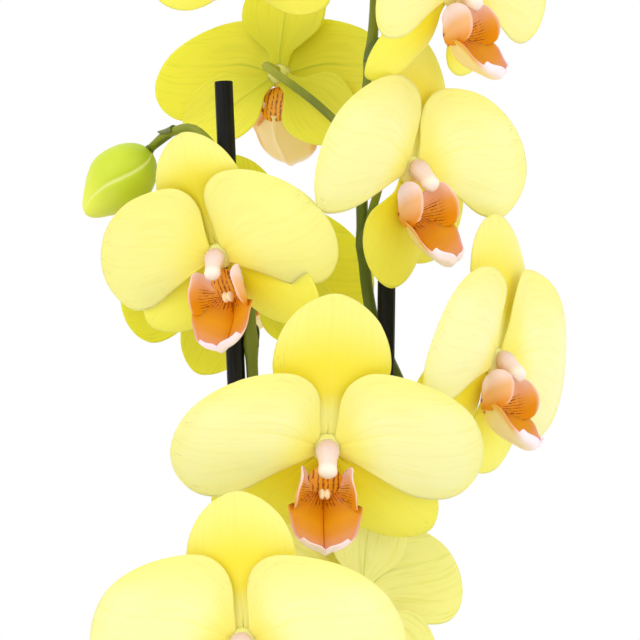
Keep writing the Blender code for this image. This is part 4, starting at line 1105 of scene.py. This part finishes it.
def make_lips():
    paint = lip_paint()
    for name, shape in BLOOMS.items():
        middle = Matrix.Translation(Vector(LIP_MIDDLE) * MM)
        size, width_share = shape["lip"]
        growth = Matrix.Diagonal((size * width_share, size, size, 1))
        place = bloom_place(shape) @ middle @ growth @ middle.inverted()
        bm = new_bm(*BLADE_LAYERS)
        add_blade(bm, midlobe_surface, 48, 40, lip_thickness, (0, -0.4, 1), MIDLOBE, 0.0, place)
        for side in (-1, 1):
            ear = side_lobe_surface(side)
            add_blade(bm, ear, 22, 20, lip_thickness, (-side, 0, 0), SIDE_LOBE, 0.0, place)
        layers = [bm.verts.layers.float[layer] for layer in ("along", "across", "front", "kind")]
        claw = [((0, -2.5, -10.4), (4.8, 1.2, 5.0), SIDE_LOBE)]
        warts = [((side * 0.7, -4.6, -12.4), (0.8, 1.5, 1.4), CALLUS) for side in (-1, 1)]
        for centre, radii, kind in claw + warts:
            ball = Matrix.Translation(Vector(centre) * MM) @ Matrix.Diagonal((*(Vector(radii) * MM), 1))
            matrix = place @ ball
            made = bmesh.ops.create_uvsphere(bm, u_segments=24, v_segments=16, radius=1.0, matrix=matrix)
            for vert in made["verts"]:
                spot = matrix.inverted() @ vert.co
                values = (0.25 + 0.2 * spot.z, 0.72 + 0.27 * spot.x, 1.0, kind)
                for layer, value in zip(layers, values):
                    vert[layer] = value
        show(f"lip_{name}", bm, paint, "lip", f"bloom_{name}_lip")


make_lips()


# ---------------------------------------------------------------------------------------------------
# Studio: a plain pale floor under bright even light, with a large soft lamp above on the left, and a long
# lens that looks level at the upper half of the plant.
# ---------------------------------------------------------------------------------------------------
LAMPS = {  # each soft lamp's place, size (m) and power (W)
    "key": ((-0.9, -1.3, 1.5), 1.0, 6.5),
    "fill": ((1.2, -0.9, 0.9), 0.9, 2.5),
}
CAMERA_PLACE = (0.0, -1.03, 0.448)
CAMERA_SPREAD = 0.0896  # half of what the lens sees, as a share of the distance


def make_studio():
    bm = bmesh.new()
    bmesh.ops.create_circle(bm, cap_ends=True, segments=96, radius=2.6)
    mesh = bpy.data.meshes.new("floor")
    bm.to_mesh(mesh)
    bm.free()
    floor = bpy.data.objects.new("floor", mesh)
    floor.location.z = -0.5 * MM
    bpy.context.scene.collection.objects.link(floor)
    paint = Paint("pale floor")
    paint.set(Base_Color=(0.86, 0.86, 0.86), Roughness=0.9)
    mesh.materials.append(paint.material)

    world = bpy.data.worlds.new("white studio")
    bpy.context.scene.world = world
    world.use_nodes = True
    world.node_tree.nodes["Background"].inputs["Color"].default_value = (1.0, 1.0, 1.0, 1.0)
    world.node_tree.nodes["Background"].inputs["Strength"].default_value = 1.0
    bpy.context.scene.view_settings.view_transform = "Standard"

    target = Vector((0.0, 0.0, 0.42))
    for name, (spot, size, power) in LAMPS.items():
        lamp = bpy.data.lights.new(name, "AREA")
        lamp.energy = power
        lamp.size = size
        light = bpy.data.objects.new(name, lamp)
        light.location = spot
        light.rotation_euler = (target - Vector(spot)).to_track_quat("-Z", "Y").to_euler()
        bpy.context.scene.collection.objects.link(light)

    lens = bpy.data.cameras.new("camera")
    lens.sensor_width = 36.0
    lens.lens = lens.sensor_width / 2 / CAMERA_SPREAD
    camera = bpy.data.objects.new("camera", lens)
    camera.location = CAMERA_PLACE
    camera.rotation_euler = (math.pi / 2, 0.0, 0.0)
    bpy.context.scene.collection.objects.link(camera)
    bpy.context.scene.camera = camera


make_studio()
